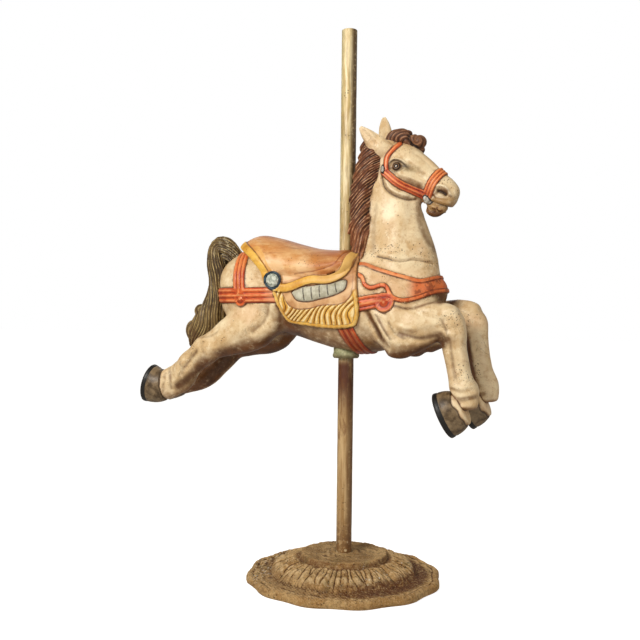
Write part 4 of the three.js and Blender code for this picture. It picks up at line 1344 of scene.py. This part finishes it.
    # Face: eye, dark lines, keepers
    # Brown for the painted shade round the eye
    eye_socket_shade_brown = p.over((156, 126, 72), (fine_mottle.step(0.35, 0.65), (112, 82, 42)))
    chin = p.z.step(1.243, 1.233) * p.x.step(0.255, 0.262) * p.z.step(1.19, 1.2)
    chin = chin * fine_mottle.step(0.3, 0.5) * p["painted_shade"].step(1.05, 0.9) * 0.7
    eye = p["eye"]
    keeper = p["keeper"]
    colour = p.over(
        colour,
        (p["eye_socket_shade"] * fine_mottle.step(0.1, 0.55) * 0.8, eye_socket_shade_brown),
        (p["ink"] * 0.92, (38, 22, 12)),
        (chin, (190, 152, 100)),
        (eye.step(14.6, 13.6), (96, 68, 40)),
        (eye.step(13.2, 12.2), (18, 10, 7)),
        (eye.near(8.4, 1.7) * 0.85, (132, 98, 66)),
        # A pale spot at the eye's centre: a painted glint
        (eye.step(3.6, 2.6), (222, 200, 176)),
    )
    silver = p.over((226, 222, 214), (fine_mottle.step(0.4, 0.6), (168, 162, 150)))
    ring = p["ring"]
    colour = p.over(
        colour,
        (keeper.step(0.6, 1.4), silver),
        (keeper.near(0.2, 1.8), (40, 34, 32)),
    )
    blue = p.over((24, 36, 46), (fine_mottle.step(0.4, 0.62), (64, 88, 100)))
    gloss = mottle.step(0.3, 0.75, 0.4, 0.56)
    rough_hair = mane.most(tail).step(-0.5, 0.5, 0, 0.1)
    bumps = p.noise(0.006, 4) * 0.5 + (p.noise(0.03, 3) * 1.4 - marks * 0.9)
    colour = p.over(colour, (ring.step(BEZEL_RADIUS + 0.6, BEZEL_RADIUS - 0.2), blue))
    return p.finish(colour, gloss + rough_hair, bumps, 0.0014, 0.55)


# Gritty cast iron under old sand-coloured paint, with painted shade in its hollows, under the disc's lip and
# on its +X side, and painted highlights on its crests
def foot_paint():
    p = Paint("cast_foot", 0.82)
    grit = p.noise(0.012, 8, 0.7)
    patches = p.noise(0.09, 5, 0.6)
    hollow, valley = p["hollow"], p["valley"]
    speckle = p.noise(0.0036, 6, 0.75)
    out = (p.x ** 2 + p.y ** 2) ** 0.5
    # Painted shade under the disc's lip, and on the +X side in the dip inside the rim
    under_lip_shade = out.near(0.149, 0.014) * grit.step(0.3, 0.55) * 0.55
    shaded_side = p.x.step(0.04, 0.16, 0.3, 0.95)
    dip_shade = out.near(0.25, 0.036) * grit.step(0.3, 0.54) * shaded_side
    green = p.noise(0.06, 4).step(0.56, 0.7) * 0.3
    rough_side = p.x.step(-0.15, -0.24) * grit.step(0.3, 0.5)
    chips = p.cells(0.014).step(0.3, 0.18) * p.noise(0.12, 2).step(0.62, 0.7).most(rough_side * 0.7)
    pits = p.cells(0.009).step(0.32, 0.16) * p.noise(0.04, 3).step(0.45, 0.6).most(rough_side)
    bumps = speckle * 0.8 + grit * 2.2 - pits * 0.9
    sand = p.over(
        (222, 184, 126),
        (patches.step(0.35, 0.65), (186, 142, 84)),
        (grit.step(0.45, 0.65) * 0.6, (126, 86, 44)),
        # Painted shade in the hollows and grooves, and painted highlight on the crests
        (hollow.step(0, 1) * 0.92, (76, 42, 16)),
        (valley.step(0.3, 4) * grit.step(0.3, 0.55) * 0.85, (88, 50, 20)),
        (hollow.step(-0.1, -1.1) * 0.8, (240, 208, 156)),
        (under_lip_shade, (96, 48, 22)),
        (out.step(0.136, 0.126) * patches.step(0.3, 0.55) * 0.5, (142, 110, 68)),
        (dip_shade, (98, 52, 22)),
        (speckle.step(0.54, 0.66) * 0.6, (92, 58, 26)),
        (speckle.step(0.46, 0.36) * 0.5, (246, 222, 176)),
        (green, (122, 112, 70)),
        (chips * 0.85, (244, 234, 212)),
        (pits * 0.8, (58, 34, 16)),
    )
    return p.finish(sand, None, bumps, 0.004, 1)


# Old cream paint, streaked and worn down the pole's length, with painted shade down its +X flank
def pole_paint():
    p = Paint("painted_pole", 0.42, 0.25)
    streaks = p.noise(0.016, 6, 0.62, (1, 1, 0.1))
    broad = p.noise(0.1, 4, 0.6, (1, 1, 0.4))
    thin = p.noise(0.006, 4, 0.6, (1, 1, 0.06))
    spots = p.noise(0.012, 5, 0.65)
    green = p.x.step(-0.004, -0.02) * spots.step(0.3, 0.6) * 0.6
    brown = broad.step(0.48, 0.66) * streaks.step(0.38, 0.58) * 0.75
    # Painted shade down the pole's +X flank
    shaded_flank = p.x.step(0.008, 0.023) * spots.step(0.2, 0.5) * 0.9
    rust = p.noise(0.035, 5, 0.62, (1, 1, 0.35))
    lower = p.z.step(0.74, 0.7)
    below = lower * p.z.step(0.5, 0.66)
    paint = p.over(
        (246, 228, 182),
        (streaks.step(0.38, 0.62), (206, 178, 118)),
        (thin.step(0.5, 0.66) * 0.55, (140, 120, 74)),
        (green, (150, 150, 110)),
        (brown, (134, 96, 48)),
        (shaded_flank, (80, 54, 26)),
    )
    bare = p.over((198, 158, 104), (streaks.step(0.34, 0.62), (150, 106, 58)))
    gritty = p.z.step(0.24, 0.12) * spots.step(0.36, 0.52)
    chips = p.cells(0.012).step(0.24, 0.12) * p.noise(0.05, 2).step(0.5, 0.62)
    lumps = p.z.step(0.15, 0.11) * p.cells(0.016).step(0.34, 0.22) * spots.step(0.44, 0.52)
    bumps = streaks + p.noise(0.008, 4) * 0.6 - chips * 0.8
    paint = p.over(
        paint,
        (lower * 0.75, bare),
        (below * rust.step(0.34, 0.5) * 0.96, (82, 36, 16)),
        (lower * rust.step(0.56, 0.66) * 0.6, (112, 68, 30)),
        (shaded_flank * lower * 0.6, (84, 54, 26)),
        (gritty * 0.75, (112, 76, 40)),
        (chips * 0.8, (84, 60, 30)),
        (lumps * 0.8, (226, 204, 160)),
    )
    return p.finish(paint, streaks.step(0.3, 0.7, 0.34, 0.55), bumps, 0.0016, 0.6)


def collar_paint():
    p = Paint("painted_collar", 0.55)
    patches = p.noise(0.02, 5, 0.6)
    low = p.z.step(0.745, 0.731)
    green = p.over(
        (186, 184, 142),
        (patches.step(0.36, 0.64), (136, 136, 96)),
        (p.noise(0.008, 5).step(0.52, 0.68) * 0.6, (94, 88, 58)),
        (low * 0.6, (92, 70, 44)),
    )
    return p.finish(green, None, p.noise(0.005, 4), 0.0012, 0.5)


def jewel_glass():
    p = Paint("jewel_glass", 0.12, 0.5)
    cloud = p.noise(0.016, 2, 0.5, warp=0.8)
    glass = p.over(
        (218, 222, 206),
        (cloud.step(0.4, 0.62), (140, 148, 134)),
        (p.noise(0.011, 2).step(0.58, 0.68) * 0.6, (104, 88, 66)),
    )
    return p.finish(glass, cloud.step(0.3, 0.7, 0.08, 0.22), cloud, 0.0006, 0.25)


horse.data.materials.clear()
horse.data.materials.append(horse_paint())


# The round pieces: rings of radius and height at each angle, closed on themselves
def spread(around, *pairs):
    return [(np.full(around, float(radius)), np.full(around, float(z))) for radius, z in pairs]


def round_piece(name, rows, around, material):
    points = np.vstack([ring_points(turns(around), radius, z) for radius, z in rows])
    faces = []
    for i in range(len(rows)):
        a, b = i * around, ((i + 1) % len(rows)) * around
        for j in range(around):
            k = (j + 1) % around
            faces.append((a + j, b + j, b + k, a + k))
    points, faces = outward(points, faces)
    piece = mesh_object(name, [(points - (0, 0, BELLY), faces)])
    piece.data.shade_smooth()
    piece.data.materials.append(material)
    return piece


def make_foot():
    around = 448
    turn = turns(around)
    disc = FOOT_DISC_RADIUS
    span = LEAF_RING_RADIUS - disc
    socket_low, sole_radius = 34, 12
    # Radius, height, how far it follows the rim's lobes, how far the leaves stand up there
    profile = [
        (32, FOOT_HEIGHT + 1, 0, 0),
        (46, FOOT_HEIGHT - 1, 0, 0),
        (disc * 0.6, FOOT_HEIGHT - 5, 0, 0),
        (disc * 0.8, FOOT_HEIGHT - 5, 0, 0),
        (disc * 0.93, FOOT_HEIGHT - 2, 0, 0),
        (disc * 0.985, FOOT_HEIGHT - 4, 0, 0),
        (disc, FOOT_HEIGHT - 10, 0, 0),
        (disc + span * 0.03, FOOT_HEIGHT - 21, 0, 0.1),
        (disc + span * 0.2, FOOT_HEIGHT - 22, 0, 0.8),
        (disc + span * 0.45, FOOT_HEIGHT - 29, 0, 1),
        (disc + span * 0.9, FOOT_HEIGHT - 49, 0, 0.9),
        (LEAF_RING_RADIUS + 4, FOOT_RIM + 6, 0, 0.1),
        (FOOT_RADIUS * 0.84, FOOT_RIM + 2, 0.4, 0),
        (FOOT_RADIUS * 0.93, FOOT_RIM + 3, 1, 0),
        (FOOT_RADIUS * 0.97, FOOT_RIM + 5, 1, 0),
        (FOOT_RADIUS * 0.995, FOOT_RIM - 1, 1, 0),
        (FOOT_RADIUS, FOOT_RIM * 0.6, 1, 0),
        (FOOT_RADIUS * 0.992, 1.5, 1, 0),
        (FOOT_RADIUS * 0.985, 0, 1, 0),
    ]
    rows = spread(around, (BORE_RADIUS, socket_low), (BORE_RADIUS, 89), (BORE_RADIUS + 1, 91))
    in_leaf = turn * LEAF_COUNT / (2 * math.pi) % 1
    leaf = ridged(in_leaf, 0.6)
    fan = np.abs(in_leaf - 0.5)
    for radius, height, lobes, leaves in refine(profile, 6):
        swollen = radius * (1 + lobes * 0.016 * np.cos(RIM_LOBES * turn))
        share = np.clip((radius - disc) / span, 0, 1)
        swirl = 0.16 * np.sin(2.5 * share + 5 * turn) * share
        vein = ridged(0.5 + 4 * (fan + swirl) * (1.25 - 0.5 * share), 0.7)
        rise = leaves * (11 * (leaf - 0.5) + 7.0 * (vein - 0.55) * np.clip(leaf * 1.5, 0, 1))
        spots = ring_points(turn, swollen, height)
        lumps = 1.3 * waves(spots, 21, 34) + 0.9 * waves(spots, 22, 12)
        lumps = lumps - 2.5 * swell(radius - FOOT_RADIUS * 0.93, 3.5)
        lumps = lumps + 1.6 * ease(-spots[:, 0], 150, 260) * waves(spots, 24, 17)
        if radius < 60:
            lumps = lumps + 2.2 * waves(spots, 23, 26) - 1.0
        rows.append((swollen, height + rise + (lumps if height > 2 else 0)))
    rows += spread(around, (FOOT_RADIUS * 0.9, 0), (sole_radius, 0), (sole_radius, socket_low))
    piece = round_piece("cast_foot_piece", rows, around, foot_paint())
    keep_hollows(piece.data, points_of(piece.data) * 1000, (("hollow", 2, 1.6), ("valley", 30, 1.0)))
    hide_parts("foot")
    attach(piece, "root")


def make_pole():
    around, inner, edge = 64, 0.5, 1.5
    turn = turns(around)
    heights = np.linspace(FOOT_HEIGHT - 60 + CLEARANCE, OVERALL_HEIGHT - edge, 260)
    rows = spread(around, (inner, heights[0]))
    for z in heights:
        dents = np.clip(0.25 * waves(ring_points(turn, 30, z), 31, 60), -0.5, 0)
        rows.append((POLE_RADIUS + dents * (120 < z < 1800), np.full(around, z)))
    rows += spread(around, (POLE_RADIUS - edge, OVERALL_HEIGHT), (inner, OVERALL_HEIGHT))
    piece = round_piece("pole_piece", rows, around, pole_paint())
    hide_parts("pole")
    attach(piece, "root")


def make_collar():
    around = 96
    lip, low = COLLAR_RADIUS, COLLAR_BOTTOM
    profile = [
        (lip * 0.9, low), (lip * 0.96, low + 3), (lip * 0.985, low + 6), (lip, low + 9),
        (lip * 0.985, low + 12), (lip * 0.95, low + 15), (lip * 0.94, low + 17), (lip * 0.94, COLLAR_TOP),
    ]
    rows = spread(around, (BORE_RADIUS, low))
    for radius, z in refine(profile, 3):
        dents = np.clip(0.35 * waves(ring_points(turns(around), radius, z), 41, 22), -0.9, 0)
        rows.append((np.maximum(radius + dents, BORE_RADIUS + 4), np.full(around, z)))
    rows += spread(around, (BORE_RADIUS, COLLAR_TOP))
    piece = round_piece("collar_piece", rows, around, collar_paint())
    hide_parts("collar")
    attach(piece, "root")


make_foot()
make_pole()
make_collar()

# The jewel keeps its own solid, with its glass
for material_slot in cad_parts["jewel"].material_slots:
    material_slot.material = jewel_glass()


# A plain pale floor and soft studio light: the camera sees white, and the light has a side
def seen_white(tree, lit, seen, output):
    to_camera = add(tree, "LightPath", "Is Camera Ray", {})
    shown = add(tree, "MixShader", 0, {0: to_camera, 1: lit, 2: seen})
    join(tree, shown, tree.nodes.new("ShaderNodeOutput" + output).inputs["Surface"])


def stage_paint():
    material = bpy.data.materials.new("studio_floor")
    material.use_nodes = True
    tree = material.node_tree
    tree.nodes.clear()
    pale = add(tree, "BsdfDiffuse", 0, {"Color": [0.62, 0.61, 0.6, 1]})
    glow = add(tree, "Emission", 0, {"Strength": 0.85})
    shown = add(tree, "AddShader", 0, {0: pale, 1: glow})
    seen_white(tree, pale, shown, "Material")
    return material


floor_mesh = bpy.data.meshes.new("floor")
floor_mesh.from_pydata([(-40, -40, 0), (40, -40, 0), (40, 40, 0), (-40, 40, 0)], [], [(0, 1, 2, 3)])
floor = bpy.data.objects.new("floor", floor_mesh)
scene.collection.objects.link(floor)
floor_mesh.materials.append(stage_paint())


def lamp(name, power, size, spot, target, colour=(1, 1, 1)):
    data = bpy.data.lights.new(name, "AREA")
    data.energy = power
    data.shape = "DISK"
    data.size = size
    data.color = colour
    light = bpy.data.objects.new(name, data)
    toward = Vector(spot) - Vector(target)
    light.matrix_world = Matrix.Translation(spot) @ toward.to_track_quat("Z", "Y").to_matrix().to_4x4()
    scene.collection.objects.link(light)


lamp("key", 92, 1.1, (-0.9, -3.1, 2.5), (0.0, 0.0, 0.95), (1.0, 0.97, 0.92))
lamp("fill", 20, 2.0, (3.0, -2.2, 1.6), (0.1, 0.0, 0.85), (1.0, 0.98, 0.95))
lamp("back", 10, 2.2, (-1.2, 2.6, 2.6), (0.0, 0.0, 0.9))
world = bpy.data.worlds.new("studio")
world.use_nodes = True
dome = world.node_tree
dome.nodes.clear()
ambient = add(dome, "Background", 0, {"Color": [1, 0.93, 0.84, 1], "Strength": 0.34})
white = add(dome, "Background", 0, {"Color": [1, 1, 1, 1], "Strength": 1.0})
seen_white(dome, ambient, white, "World")
scene.world = world
scene.view_settings.view_transform = "Standard"
